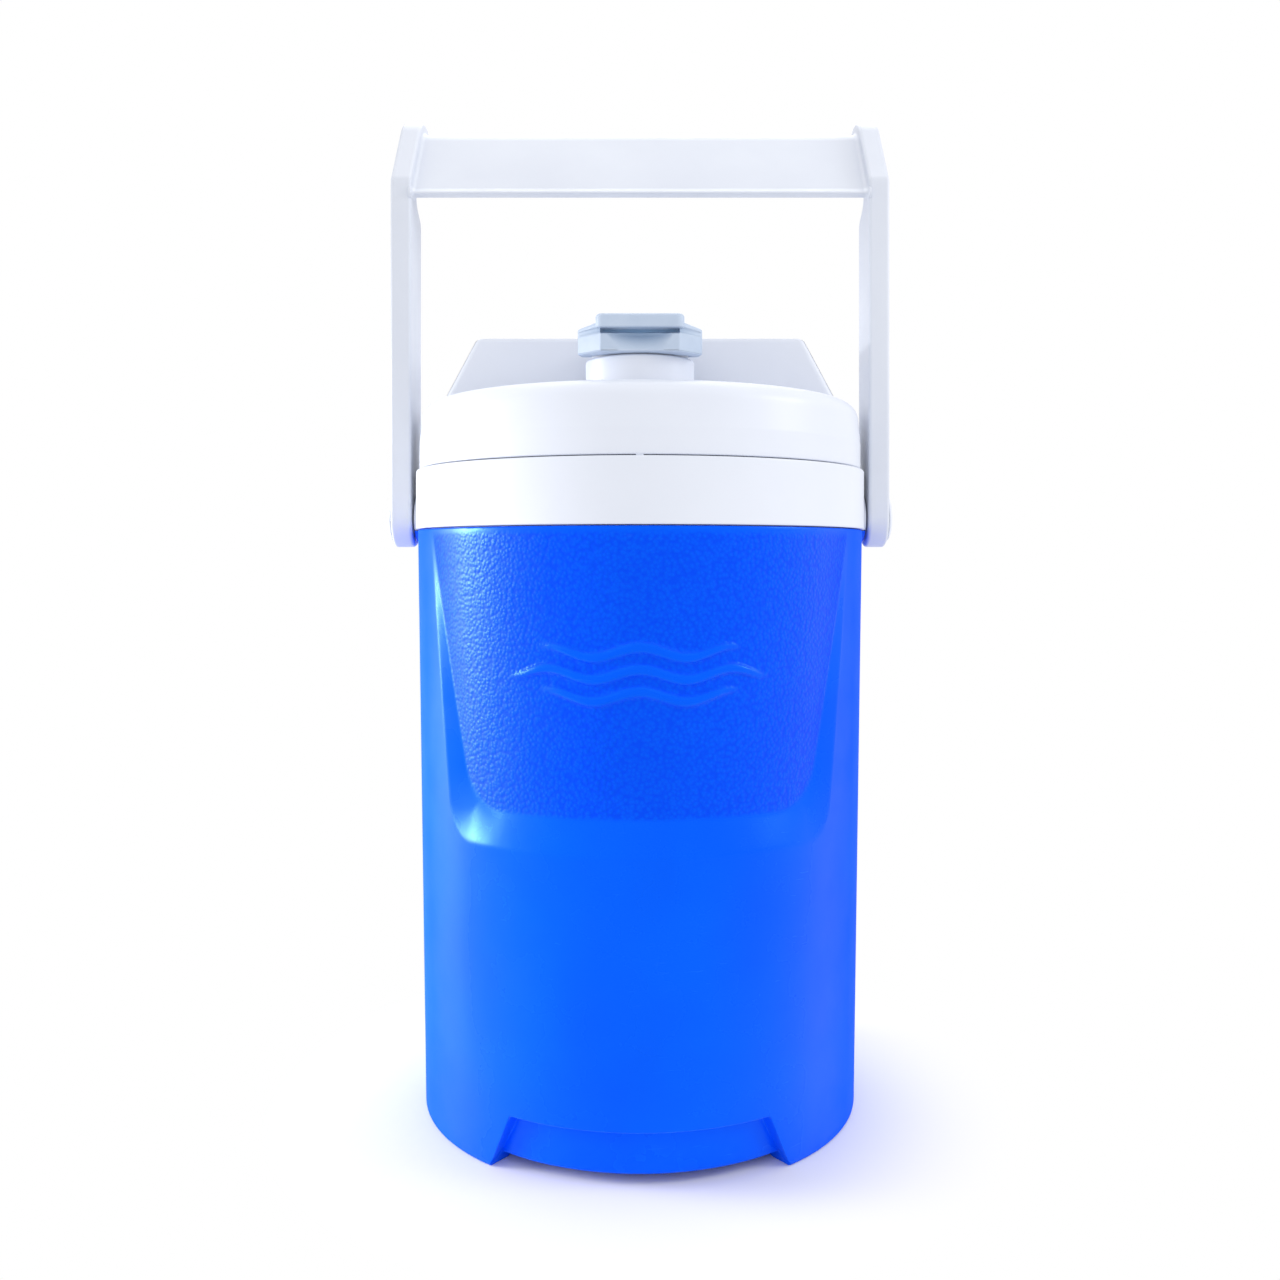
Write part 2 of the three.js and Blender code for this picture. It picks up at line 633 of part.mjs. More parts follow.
function channelGasket() {
  const low = PLATE_TOP - CHANNEL_SEAL;
  const [inner, outer] = [CHANNEL_SEAL_IN, CHANNEL_SEAL_OUT];
  return turned([[inner, low], [outer, low], [outer, PLATE_TOP], [inner, PLATE_TOP]], 32, 0, SPOUT_Y);
}

// Eight-sided outline of the flip cap, in plan.
function capOutline(half, chamfer) {
  const shape = new THREE.Shape();
  shape.moveTo(-half + chamfer, -half);
  shape.lineTo(half - chamfer, -half);
  shape.lineTo(half, -half + chamfer);
  shape.lineTo(half, half - chamfer);
  shape.lineTo(half - chamfer, half);
  shape.lineTo(-half + chamfer, half);
  shape.lineTo(-half, half - chamfer);
  shape.lineTo(-half, -half + chamfer);
  shape.closePath();
  return shape;
}

function upright(shape, low, high, y) {
  const geometry = new THREE.ExtrudeGeometry(shape, { depth: high - low, bevelEnabled: false });
  geometry.translate(0, y, low);
  return solid(geometry);
}

function spoutCap() {
  const front = SPOUT_Y - CAP_HALF;
  const body = upright(capOutline(CAP_HALF, CAP_CHAMFER), CAP_LOW, CAP_TOP, SPOUT_Y);
  const tab = box([-TAB_HALF, front - TAB_OVERHANG, TAB_LOW], [TAB_HALF, front + 14, TAB_TOP]);
  // The thumb scoop is a shallow round hollow across the front face, under the tab.
  const scoop = barZ(SCOOP_R, SCOOP_LOW, TAB_LOW - 0.01, 0, front + SCOOP_DEPTH - SCOOP_R, 64);
  const half = NOTCH_HALF - 1;
  const tongueLow = [-half, SPOUT_Y + CAP_HALF - 1, HINGE_Z - TONGUE_BELOW];
  const tongue = box(tongueLow, [half, HINGE_Y, HINGE_Z + TONGUE_ABOVE]);
  const knuckle = barX(KNUCKLE_R, -half, half, HINGE_Y, HINGE_Z, 24);
  const cavity = barZ(SPOUT_LIP_R + 0.6, CAP_LOW - 1, CAP_TOP - CAP_ROOF, 0, SPOUT_Y, 40);
  const pinHole = barX(HINGE_PIN_R + 0.1, -CAP_HALF, CAP_HALF, HINGE_Y, HINGE_Z, 20);
  return body.subtract(scoop).add(tab).add(tongue).add(knuckle).subtract(cavity).subtract(pinHole);
}

// Rubber plug under the flip cap: a disc that covers the lip and a nose that enters the bore.
function spoutCapSeal() {
  const disc = SPOUT_TOP + GAP;
  const top = CAP_TOP - CAP_ROOF - GAP;
  const rim = SPOUT_LIP_R - 0.4;
  const nose = SPOUT_BORE_R - 0.4;
  const tip = disc - NOSE_DEPTH;
  const plug = [[0, tip], [nose - NOSE_TAPER, tip], [nose, tip + NOSE_TAPER], [nose, disc]];
  return turned([...plug, [rim, disc], [rim, top], [0, top]], 40, 0, SPOUT_Y);
}

const capHingePin = () =>
  barX(HINGE_PIN_R - 0.2, 1.7 - NOTCH_HALF - EAR, NOTCH_HALF + EAR - GAP, HINGE_Y, HINGE_Z, 16);

const BLUE = { color: 0x0258fe, roughness: 0.42, metalness: 0 };
const WHITE = { color: 0xeef3fd, roughness: 0.35, metalness: 0 };
const GREY_BLUE = { color: 0xb9cbe2, roughness: 0.4, metalness: 0 };
const FOAM = { color: 0xf2e6c4, roughness: 0.95, metalness: 0 };
const RUBBER = { color: 0xd9dde2, roughness: 0.8, metalness: 0 };
const STEEL = { color: 0xc4c7cb, roughness: 0.25, metalness: 1 };

const jug = new THREE.Group();

function addPiece(name, made, look) {
  const mesh = new THREE.Mesh(geometryOf(made), new THREE.MeshStandardMaterial(look));
  mesh.name = name;
  jug.add(mesh);
}

addPiece("outer_shell", outerShell(), BLUE);
addPiece("insulation_foam", insulationFoam(), FOAM);
addPiece("inner_liner", innerLiner(), WHITE);
addPiece("collar_ring", collarRing(), WHITE);
addPiece("foam_port_plug", foamPortPlug(), BLUE);
addPiece("pivot_pin_left", pivotPin(-1), WHITE);
addPiece("pivot_pin_right", pivotPin(1), WHITE);
addPiece("bail_handle", bailHandle(), WHITE);
addPiece("lid_shell", lidShell(), WHITE);
addPiece("lid_inner_plate", lidInnerPlate(), WHITE);
addPiece("lid_foam", lidFoam(), FOAM);
addPiece("lid_gasket", lidGasket(), RUBBER);
addPiece("spout_channel_gasket", channelGasket(), RUBBER);
addPiece("spout_cap", spoutCap(), GREY_BLUE);
addPiece("spout_cap_seal", spoutCapSeal(), RUBBER);
addPiece("cap_hinge_pin", capHingePin(), STEEL);

export default jug;
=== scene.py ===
"""Looks of the insulated water jug: smooth moulded pieces, procedural plastics and a plain pale studio.

Sizes are in millimetres in the CAD frame: +Z up, the spout and the front panel towards -Y.
Angles round the jug are in degrees from -Y, positive towards +X.
"""

import math

import bmesh
import bpy
import numpy as np
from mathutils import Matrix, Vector
from mathutils.geometry import tessellate_polygon
from mathutils.kdtree import KDTree


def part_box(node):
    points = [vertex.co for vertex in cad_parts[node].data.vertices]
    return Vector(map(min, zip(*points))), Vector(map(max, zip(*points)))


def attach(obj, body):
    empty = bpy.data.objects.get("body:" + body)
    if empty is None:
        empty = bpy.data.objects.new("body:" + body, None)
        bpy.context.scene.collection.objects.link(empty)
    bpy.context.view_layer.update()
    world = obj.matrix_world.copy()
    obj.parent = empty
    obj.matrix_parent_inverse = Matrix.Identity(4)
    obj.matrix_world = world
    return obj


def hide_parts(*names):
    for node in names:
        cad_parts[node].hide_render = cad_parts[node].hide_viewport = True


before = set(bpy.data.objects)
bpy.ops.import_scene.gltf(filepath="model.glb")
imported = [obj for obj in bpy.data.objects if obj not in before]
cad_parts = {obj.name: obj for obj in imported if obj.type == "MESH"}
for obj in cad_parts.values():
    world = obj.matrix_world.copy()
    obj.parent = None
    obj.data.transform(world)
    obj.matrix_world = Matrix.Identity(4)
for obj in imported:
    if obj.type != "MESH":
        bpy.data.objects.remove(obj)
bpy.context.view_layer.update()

MM = 0.001
WELD = 0.002  # points closer than this are one point
SAME_PLACE = 0.01  # a mesh vertex this close to a point is that point
ROUND = 256  # points round a large ring
SMALL_ROUND = 96


def corners(node):
    """Lowest and highest corner of a CAD node, in millimetres."""
    low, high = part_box(node)
    return np.array(low) / MM, np.array(high) / MM


SHELL_HIGH = corners("outer_shell")[1]
COLLAR_LOW, COLLAR_HIGH = corners("collar_ring")
LINER_LOW, LINER_HIGH = corners("inner_liner")
LID_LOW, LID_HIGH = corners("lid_shell")
ARM_LOW, ARM_HIGH = corners("bail_handle")
PIN_LOW, PIN_HIGH = corners("pivot_pin_right")
CAP_LOW, CAP_HIGH = corners("spout_cap")
SEAL_LOW, SEAL_HIGH = corners("spout_cap_seal")
HINGE_LOW, HINGE_HIGH = corners("cap_hinge_pin")
PORT_LOW, PORT_HIGH = corners("foam_port_plug")
PIVOT = (PIN_LOW + PIN_HIGH) / 2
HINGE = (HINGE_LOW + HINGE_HIGH) / 2

# Drum
WALL = 2.4
BODY_R = SHELL_HIGH[1]
BASE_R = BODY_R - 2.7
SHELL_TOP = SHELL_HIGH[2]
FLOOR_Z = 4.0
FOOT_INNER_R = 64.0
FOOT_EDGE = 0.9
PORT_R = 9.2
BASE_GROOVES = (54, 33)  # radii of the shallow grooves in the underside

# Kick recesses in front and behind
KICK_R = 68.4
KICK_TOP = 16.5
KICK_RIM_Z = 3.2
KICK_HALF_TOP = 31.6
KICK_HALF_BOTTOM = 37.7
KICK_SOFT = 0.35  # half the width of its steep walls, seen from the side

# Front panel: a band slopes in from its outer to its inner edge
PANEL_TOP = 187.0
PANEL_LOW = 95.6
PANEL_INNER_LOW = 105.5
PANEL_DEPTH = 3.6
PANEL_HALF = (51.0, 60.6)  # outer edge at the bottom and at the top
PANEL_INNER_HALF = (44.6, 59.4)
PANEL_CORNER = 10.0
PANEL_INNER_CORNER = 13.0
PANEL_SOFT = 0.08  # rounding of the band's two bends, as a share of its width
GRAIN_TOP = 188.8  # the pebbling ends at this height

# Raised waves on the panel
WAVE_Z = 147.4
WAVE_PITCH = 6.3
WAVE_HEIGHT = 1.1
WAVE_SWING = 1.5
WAVE_LENGTH = 27.0
WAVE_HALF_WIDTH = 2.1

# Neck and thread
NECK_R = 68.7
NECK_FLARE = (186.0, 196.0)
LINER_R = 62.5
THREAD_PITCH = 8.0
THREAD_HALF = 1.1
THREAD_RUN_OUT = 24  # degrees over which each end of a rib runs out
NECK_RIB_Z = 213.2
LID_RIB_DROP = 2.55  # the lid's rib runs this far under the neck's

# Collar
COLLAR_R = COLLAR_HIGH[1]
COLLAR_FOOT = SHELL_TOP + 0.3
COLLAR_LIP_R = 70.2
COLLAR_BORE_R = 72.8
BOSS_R = 8.3
PIVOT_BORE_R = 3.5

# Lid
LID_R = LID_HIGH[0]
LID_SHOULDER = 6.0
LID_SHOULDER_R = LID_R - 0.7
LID_BORE_R = 71.5
LID_RIM_DROP = 0.45  # the visible rim ends this far below the CAD's
DECK_Z = 232.0
BLOCK_TOP = LID_HIGH[2]
BLOCK_BASE_R = 66.9
BLOCK_TOP_R = 55.7
BLOCK_FRONT = -15.0
BLOCK_FOOT = 0.8
BLOCK_EDGE = 1.4
BLOCK_CORNER = 2.2  # where its round back meets the flat front
NOTCH_HALF = 13.0
NOTCH_BACK = -5.0
NOTCH_FLOOR = 245.4
SPOUT_Y = (SEAL_LOW[1] + SEAL_HIGH[1]) / 2
SPOUT_R = 16.6
SPOUT_SHOULDER = 240.5
SPOUT_LIP_R = 14.8
SPOUT_TOP = 244.8
SPOUT_BORE_R = 12.0
SPOUT_FOOT = 1.2  # radius of the fillet at the neck's foot
VENT_R = 0.7
VENT_Y = SPOUT_Y + 13.4

# Nub under the lid's rim, at the front
NUB_HALF = 1.1
NUB_INSET = 0.15
NUB_BACK = 2.0
NUB_DROP = 0.3
NUB_RISE = 0.8

# Flip cap
CAP_HALF = CAP_HIGH[0]
CAP_CHAMFER = 7.0
CAP_TOP = 250.0
CAP_ROOF = 2.6
TAB_HALF = 13.0
TAB_LOW = 247.8
TAB_TOP = 251.9
TAB_OVERHANG = 1.2
KNUCKLE_R = 3.2
KNUCKLE_BORE_R = 1.6

# Thumb scoop in the cap's front: a wide slot under the tab and a bowl that narrows below it
SCOOP_TOP = 248.4
SCOOP_SLOT_LOW = 246.2
SCOOP_SLOT_HALF = 11.9
SCOOP_SLOT_DEPTH = 2.8
SCOOP_BOWL_LOW = 241.3
SCOOP_BOWL_DEPTH = 2.6

# Bail handle
ARM_IN = 76.8
ARM_OUT = ARM_HIGH[0]
ARM_HALF = -ARM_LOW[1]
ARM_EDGE = 1.1
ARM_SHOULDER_Z = 298.0
SLOT_HALF = 5.5
SLOT_LOW = 216.0
SLOT_HIGH = 292.0
SLOT_DEPTH = 1.2
HOOK_Y = 20.0
HOOK_Z = 320.0
HOOK_R = ARM_HIGH[2] - HOOK_Z
HOOK_BAR = 9.0
HOOK_LEAN = 141.6
HOOK_NECK_Z = 304.0
HOOK_TIP_Z = 319.0
GRIP_INSET = 4.0
GRIP_WALL = 3.4
GRIP_REAR_Z = 317.0
GRIP_FRONT_Z = 302.8
GRIP_FILLET = 1.5
GRIP_LIP_Y = 0.2 - ARM_HALF  # front face of the lip along the grip's lower edge
GRIP_LIP = 2.9  # depth of the lip where the slanting sheet starts
GRIP_LIP_FOOT = 5.6  # depth of the lip's underside
GRIP_LIP_DROP = 1.8


# -------- shape tools


def spaced(start, end, step):
    """Even steps from start up to but without end."""
    count = max(1, round(abs(end - start) / step))
    return list(np.linspace(start, end, count, endpoint=False))


def soft_clamp(t, soft):
    """t held between 0 and 1, with both bends rounded over twice soft."""

    def bend(value):
        return np.where(value < -soft, 0, np.where(value > soft, value, (value + soft) ** 2 / (4 * soft)))

    return bend(t) - bend(t - 1)


def arc(centre, radius, start, end, steps):
    """Points of an arc, both ends included; angles in degrees."""
    turn = np.radians(np.linspace(start, end, steps + 1))
    return [(centre[0] + radius * math.cos(a), centre[1] + radius * math.sin(a)) for a in turn]


def rounded(points, radius, steps=5, closed=True):
    """A polyline whose corners are arcs. radius is one number, or one for each point; 0 keeps a corner."""
    points = [np.array(p, float) for p in points]
    radii = radius if isinstance(radius, (list, tuple)) else [radius] * len(points)
    out = []
    for i, point in enumerate(points):
        ends = not closed and i in (0, len(points) - 1)
        if ends or radii[i] <= 0:
            out.append(point)
            continue
        back = points[i - 1] - point
        ahead = points[(i + 1) % len(points)] - point
        back_length, ahead_length = np.linalg.norm(back), np.linalg.norm(ahead)
        back, ahead = back / back_length, ahead / ahead_length
        opening = math.acos(float(np.clip(back @ ahead, -1, 1)))
        if opening > math.pi - 1e-3:
            out.append(point)
            continue
        reach = min(radii[i] / math.tan(opening / 2), 0.49 * back_length, 0.49 * ahead_length)
        used = reach * math.tan(opening / 2)
        middle = back + ahead
        centre = point + middle / np.linalg.norm(middle) * used / math.sin(opening / 2)
        start, end = point + back * reach - centre, point + ahead * reach - centre
        turn = math.atan2(start[0] * end[1] - start[1] * end[0], start @ end)
        for k in range(steps + 1):
            c, s = math.cos(turn * k / steps), math.sin(turn * k / steps)
            out.append(centre + np.array([start[0] * c - start[1] * s, start[0] * s + start[1] * c]))
    return np.array(out)


def anticlockwise(loop):
    loop = np.asarray(loop, float)
    following = np.roll(loop, -1, axis=0)
    area = np.sum(loop[:, 0] * following[:, 1] - following[:, 0] * loop[:, 1])
    return loop if area > 0 else loop[::-1]


def grown(loop, distance):
    """An anticlockwise loop moved outwards by a distance."""
    ahead = np.roll(loop, -1, axis=0) - loop
    ahead = ahead / np.linalg.norm(ahead, axis=1)[:, None]
    normal = np.stack([ahead[:, 1], -ahead[:, 0]], axis=1)
    before = np.roll(normal, 1, axis=0)
    mitre = (normal + before) / (1 + np.sum(normal * before, axis=1))[:, None]
    return loop + mitre * distance


def circle(radius, steps=SMALL_ROUND, centre=(0, 0)):
    turn = np.linspace(0, 2 * math.pi, steps, endpoint=False)
    return np.stack([centre[0] + radius * np.cos(turn), centre[1] + radius * np.sin(turn)], axis=1)


def upright(loop, height):
    """A plan outline placed at a height."""
    return np.column_stack([loop, np.full(len(loop), height)])


def sideways(loop, x):
    """A side outline (y, z) placed at x."""
    return np.column_stack([np.full(len(loop), x), loop])


def turned(profile, steps=ROUND, centre=(0, 0)):
    """Rings of a profile [(radius, height), ...] turned about an upright line."""
    return np.array([upright(circle(radius, steps, centre), height) for radius, height in profile])


def turned_on_x(profile, centre, steps=SMALL_ROUND):
    """Rings of a profile [(radius, x), ...] turned about a line along X through centre (y, z)."""
    return np.array([sideways(circle(radius, steps, centre), x) for radius, x in profile])


def mirrored(side):
    """Places side outlines (y, z) on the right for side 1, and mirrored on the left for -1."""
    return lambda loop, x: sideways(loop, side * x)


def joined(parts, steps):
    """One rounded outline from parts, each (points, radius of their corners)."""
    points = [point for part, _ in parts for point in part]
    radii = [radius for part, radius in parts for _ in part]
    return rounded(points, radii, steps)


def edge_rings(radius, steps=4):
    """(inset, rise) of a rounded edge, from the face to the wall."""
    turns = np.linspace(math.pi / 2, 0, steps + 1)
    return [(radius * (1 - math.cos(a)), radius * (1 - math.sin(a))) for a in turns]


def wall_levels(low, high, low_side, high_side, rows=()):
    """(offset, height) up a wall; each end curves by (radius, 1 outwards or -1 inwards)."""
    low_edge, low_sign = low_side
    high_edge, high_sign = high_side
    levels = [(low_sign * inset, low + rise) for inset, rise in edge_rings(low_edge)]
    levels += [(0, height) for height in rows]
    levels += [(high_sign * inset, high - rise) for inset, rise in reversed(edge_rings(high_edge))]
    return levels


class Shape:
    """Points and faces of one moulding, gathered from several closed parts."""

    def __init__(self):
        self.points = []
        self.faces = []

    def add(self, points, faces):
        start = len(self.points)
        self.points.extend(tuple(p) for p in points)
        self.faces.extend(tuple(start + i for i in face) for face in faces)

    def band(self, rings, closed=False):
        """Faces between neighbouring closed rings; closed also joins the last to the first."""
        rings = np.asarray(rings, float)
        rows, columns = rings.shape[:2]
        faces = []
        for j in range(rows if closed else rows - 1):
            low, high = j * columns, (j + 1) % rows * columns
            for i in range(columns):
                k = (i + 1) % columns
                faces.append((low + i, low + k, high + k, high + i))
        self.add(rings.reshape(-1, 3), faces)

    def cap(self, *loops):
        """A flat face inside the first loop and outside the others."""
        flat = [p for loop in loops for p in loop]
        self.add(flat, tessellate_polygon([[Vector(p) for p in loop] for loop in loops]))

    def slab(self, outline, low, high, edges, place, holes=(), pits=(), rows=()):
        """A plate with rounded edges between two heights.

        edges: radii of its low and high edges. place(loop, height) gives points in space.
        holes: (loop, rim radius) right through. pits: (loop, depth, rim radius) in the high face.
        rows: heights of extra rows of points in the outer wall.
        """

        def wall(loop, levels):
            self.band([place(grown(loop, offset), height) for offset, height in levels])

        outline = anticlockwise(outline)
        low_edge, high_edge = edges
        wall(outline, wall_levels(low, high, (low_edge, -1), (high_edge, -1), rows))
        low_loops = [place(grown(outline, -low_edge), low)]
        high_loops = [place(grown(outline, -high_edge), high)]
        for loop, rim in holes:
            loop = anticlockwise(loop)
            wall(loop, wall_levels(low, high, (rim, 1), (rim, 1)))
            low_loops.append(place(grown(loop, rim), low))
            high_loops.append(place(grown(loop, rim), high))
        for loop, depth, rim in pits:
            loop = anticlockwise(loop)
            floor = high - depth
            wall(loop, wall_levels(floor, high, (rim, -1), (rim, 1)))
            self.cap(place(grown(loop, -rim), floor))
            high_loops.append(place(grown(loop, rim), high))
        self.cap(*low_loops)
        self.cap(*high_loops)

    def rib(self, section, radius_in, start_z, start_angle, turn, side):
        """A thread rib wound on a helix; section is (outwards, up), and its ends run out to nothing."""
        steps = int(turn / 2)
        rings = []
        for k in range(steps + 1):
            along = turn * k / steps
            run_out = min(1, along / THREAD_RUN_OUT, (turn - along) / THREAD_RUN_OUT)
            size = max(0.02, math.sin(math.pi / 2 * run_out))
            angle = math.radians(start_angle + along)
            height = start_z + THREAD_PITCH * (start_angle + along) / 360
            ring = []
            for out, up in section:
                radius = radius_in + side * out * size
                level = height + up * (0.4 + 0.6 * size)
                ring.append((radius * math.cos(angle), radius * math.sin(angle), level))
            rings.append(ring)
        self.band(rings)
        for ring in (rings[0], rings[-1]):
            self.add(ring, [tuple(range(len(ring)))])


def piece(name, shape, body, look, nodes, crease=40, weighted=True):
    """A mesh object from a shape, riding on a body and standing for CAD nodes."""
    mesh = bpy.data.meshes.new(name)
    mesh.from_pydata((np.array(shape.points) * MM).tolist(), [], shape.faces)
    work = bmesh.new()
    work.from_mesh(mesh)
    bmesh.ops.remove_doubles(work, verts=work.verts, dist=WELD * MM)
    bmesh.ops.recalc_face_normals(work, faces=work.faces)
    work.to_mesh(mesh)
    work.free()
    mesh.shade_smooth()
    mesh.set_sharp_from_angle(angle=math.radians(crease))
    mesh.materials.append(look)
    made = bpy.data.objects.new(name, mesh)
    bpy.context.scene.collection.objects.link(made)
    if weighted:
        normals = made.modifiers.new("even_faces", "WEIGHTED_NORMAL")
        normals.keep_sharp = True
        normals.weight = 80
    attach(made, body)
    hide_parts(*nodes)
    return made


def painted(made_piece, shape, name, values):
    """Stores each point's value on the welded mesh, taken from the nearest point that has one."""
    marked = [(point, value) for point, value in zip(shape.points, values) if value > 0]
    tree = KDTree(len(marked))
    for k, (point, _) in enumerate(marked):
        tree.insert([c * MM for c in point], k)
    tree.balance()
    stored = []
    for vertex in made_piece.data.vertices:
        _, k, away = tree.find(vertex.co)
        stored.append(marked[k][1] if away < SAME_PLACE * MM else 0.0)
    attribute = made_piece.data.attributes.new(name, "FLOAT", "POINT")
    attribute.data.foreach_set("value", stored)


# -------- materials


class Look:
    """A Principled material and short calls for its nodes. Coordinates are the object's own, in metres."""

    def __init__(self, name, **sockets):
        self.material = bpy.data.materials.new(name)
        self.material.use_nodes = True
        self.tree = self.material.node_tree
        self.shader = self.tree.nodes["Principled BSDF"]
        for socket, value in sockets.items():
            self.shader.inputs[socket.replace("_", " ")].default_value = value
        self.place = self.tree.nodes.new("ShaderNodeTexCoord").outputs["Object"]
        self.bump = None

    def node(self, kind, inputs, **settings):
        """A new node. inputs gives a value, or the output that it is linked to, for each of its inputs."""
        made = self.tree.nodes.new(kind)
        for key, value in settings.items():
            setattr(made, key, value)
        for key, value in inputs.items():
            if isinstance(value, bpy.types.NodeSocket):
                self.join(value, made.inputs[key])
            else:
                made.inputs[key].default_value = value
        return made

    def join(self, source, target):
        self.tree.links.new(source, target)

    def stretched(self, scale):
        """Coordinates scaled differently along X, Y and Z."""
        return self.node("ShaderNodeMapping", {"Scale": scale, "Vector": self.place}).outputs["Vector"]

    def noise(self, size, detail=3.0, where=None, distortion=0.0):
        """Noise whose blobs are about size millimetres across."""
        inputs = {"Scale": 1 / (size * MM), "Detail": detail, "Distortion": distortion}
        return self.node("ShaderNodeTexNoise", inputs | {"Vector": where or self.place}).outputs["Fac"]

    def clouds(self, size, detail):
        """Soft patches about size millimetres across, between 0 and 1."""
        return self.ranged(self.noise(size, detail), 0.35, 0.65, 0.0, 1.0)

    def uneven(self, size, detail, low, high):
        """A number that drifts between two others over about size millimetres."""
        return self.ranged(self.noise(size, detail), 0.3, 0.7, low, high)

    def cells(self, size, smoothness=0.7):
        """Rounded cells about size millimetres across, 0 at their centres."""
        inputs = {"Scale": 1 / (size * MM), "Smoothness": smoothness, "Vector": self.place}
        return self.node("ShaderNodeTexVoronoi", inputs, feature="SMOOTH_F1").outputs["Distance"]

    def ranged(self, value, from_low, from_high, low, high, **settings):
        inputs = {"From Min": from_low, "From Max": from_high, "To Min": low, "To Max": high}
        return self.node("ShaderNodeMapRange", inputs | {"Value": value}, **settings).outputs["Result"]

    def maths(self, operation, first, second):
        return self.node("ShaderNodeMath", {0: first, 1: second}, operation=operation).outputs["Value"]

    def mixed(self, share, first, second):
        """A colour between two, each a tuple or a socket."""
        colours = [(*c, 1) if isinstance(c, tuple) else c for c in (first, second)]
        inputs = {"Factor": share, 6: colours[0], 7: colours[1]}
        return self.node("ShaderNodeMix", inputs, data_type="RGBA").outputs[2]

    def stored(self, name):
        """A value that the mesh's points hold."""
        return self.node("ShaderNodeAttribute", {}, attribute_name=name).outputs["Fac"]

    def pointiness(self):
        """Above 0.5 on outer edges, below it in hollows."""
        return self.node("ShaderNodeNewGeometry", {}).outputs["Pointiness"]

    def tinted(self, colour, where, share, tint):
        """A colour that moves by a share towards a tint."""
        return self.mixed(self.maths("MULTIPLY", where, share), colour, tint)

    def plus(self, value, extra, share):
        """A value with a share of another added."""
        return self.maths("ADD", value, self.maths("MULTIPLY", extra, share))

    def relief(self, height, depth):
        """Adds a bump of that depth in millimetres."""
        inputs = {"Distance": depth * MM, "Strength": 1.0, "Height": height}
        if self.bump:
            inputs["Normal"] = self.bump
        self.bump = self.node("ShaderNodeBump", inputs).outputs["Normal"]

    def finished(self, colour, roughness):
        self.join(colour, self.shader.inputs["Base Color"])
        self.join(roughness, self.shader.inputs["Roughness"])
        if self.bump:
            self.join(self.bump, self.shader.inputs["Normal"])
        return self.material

    def edge_wear(self):
        """Near 1 on rubbed outer edges, broken up by noise."""
        worn = self.ranged(self.pointiness(), 0.515, 0.6, 0.0, 1.0)
        return self.maths("MULTIPLY", worn, self.ranged(self.noise(4, 4), 0.35, 0.65, 0.15, 1.0))

    def scratches(self):
        """Near 1 along a few short fine rubbed lines."""
        first = self.noise(3, 2, self.stretched((0.35, 0.35, 3.0)), 0.6)
        patches = self.ranged(self.noise(22, 2), 0.56, 0.7, 0.0, 1.0)
        return self.maths("MULTIPLY", self.ranged(first, 0.66, 0.72, 0.0, 1.0), patches)


def blue_plastic():
    """Satin blue: pebbled on the panel with painted shade in the pebbles' valleys, lightly rippled elsewhere,
    with rubbed feet and edges.
    """
    look = Look("blue_plastic", Specular_IOR_Level=0.4, Specular_Tint=(0.1, 0.9, 1.0, 1))
    colour = look.mixed(look.clouds(46, 3), (0.0, 0.08, 0.93), (0.0, 0.096, 0.98))
    grain = look.stored("grain")
    pebbles = look.cells(1.15, smoothness=0.5)
    # painted shade: the pebbles' valleys on the panel are darkened in the colour
    pebble_painted_shade = look.maths("MULTIPLY", look.ranged(pebbles, 0.2, 0.75, 0.15, 0.6), grain)
    colour = look.mixed(pebble_painted_shade, colour, (0.0, 0.022, 0.86))
    wear = look.edge_wear()
    colour = look.tinted(colour, wear, 0.35, (0.02, 0.24, 0.98))
    lines = look.scratches()
    colour = look.tinted(colour, lines, 0.08, (0.04, 0.28, 1.0))
    fine = look.noise(1.1, 4)
    roughness = look.plus(look.uneven(14, 4, 0.22, 0.31), grain, 0.12)
    facing = look.node("ShaderNodeLayerWeight", {}).outputs["Facing"]
    roughness = look.maths("ADD", roughness, look.ranged(facing, 0.4, 0.75, 0.0, 0.6))
    roughness = look.plus(roughness, look.maths("MAXIMUM", wear, lines), 0.16)
    look.relief(look.noise(24, 2), 0.16)
    look.relief(fine, 0.012)
    height = look.maths("MULTIPLY", look.ranged(pebbles, 0.1, 0.8, 1.0, 0.0), grain)
    look.relief(height, 0.105)
    return look.finished(colour, roughness)


def white_plastic(name, first, second, rough=(0.3, 0.42), mottle=60):
    """Moulded white plastic with faint cloudy tone, flow ripple and painted shade darkening its hollows."""
    look = Look(name, Specular_IOR_Level=0.45)
    colour = look.mixed(look.clouds(mottle, 4), first, second)
    hollows = look.ranged(look.pointiness(), 0.49, 0.43, 0.0, 1.0)
    # painted shade: hollows are tinted towards grey, broken up by noise
    painted_hollow_shade = look.maths("MULTIPLY", hollows, look.uneven(5, 3, 0.2, 1.0))
    colour = look.tinted(colour, painted_hollow_shade, 0.3, (0.52, 0.55, 0.6))
    lines = look.scratches()
    colour = look.tinted(colour, lines, 0.06, (0.55, 0.58, 0.64))
    roughness = look.uneven(11, 4, *rough)
    rubbed = look.maths("MAXIMUM", look.edge_wear(), lines)
    roughness = look.plus(roughness, rubbed, 0.14)
    look.relief(look.noise(20, 2), 0.1)
    look.relief(look.noise(0.8, 3), 0.01)
    return look.finished(colour, roughness)


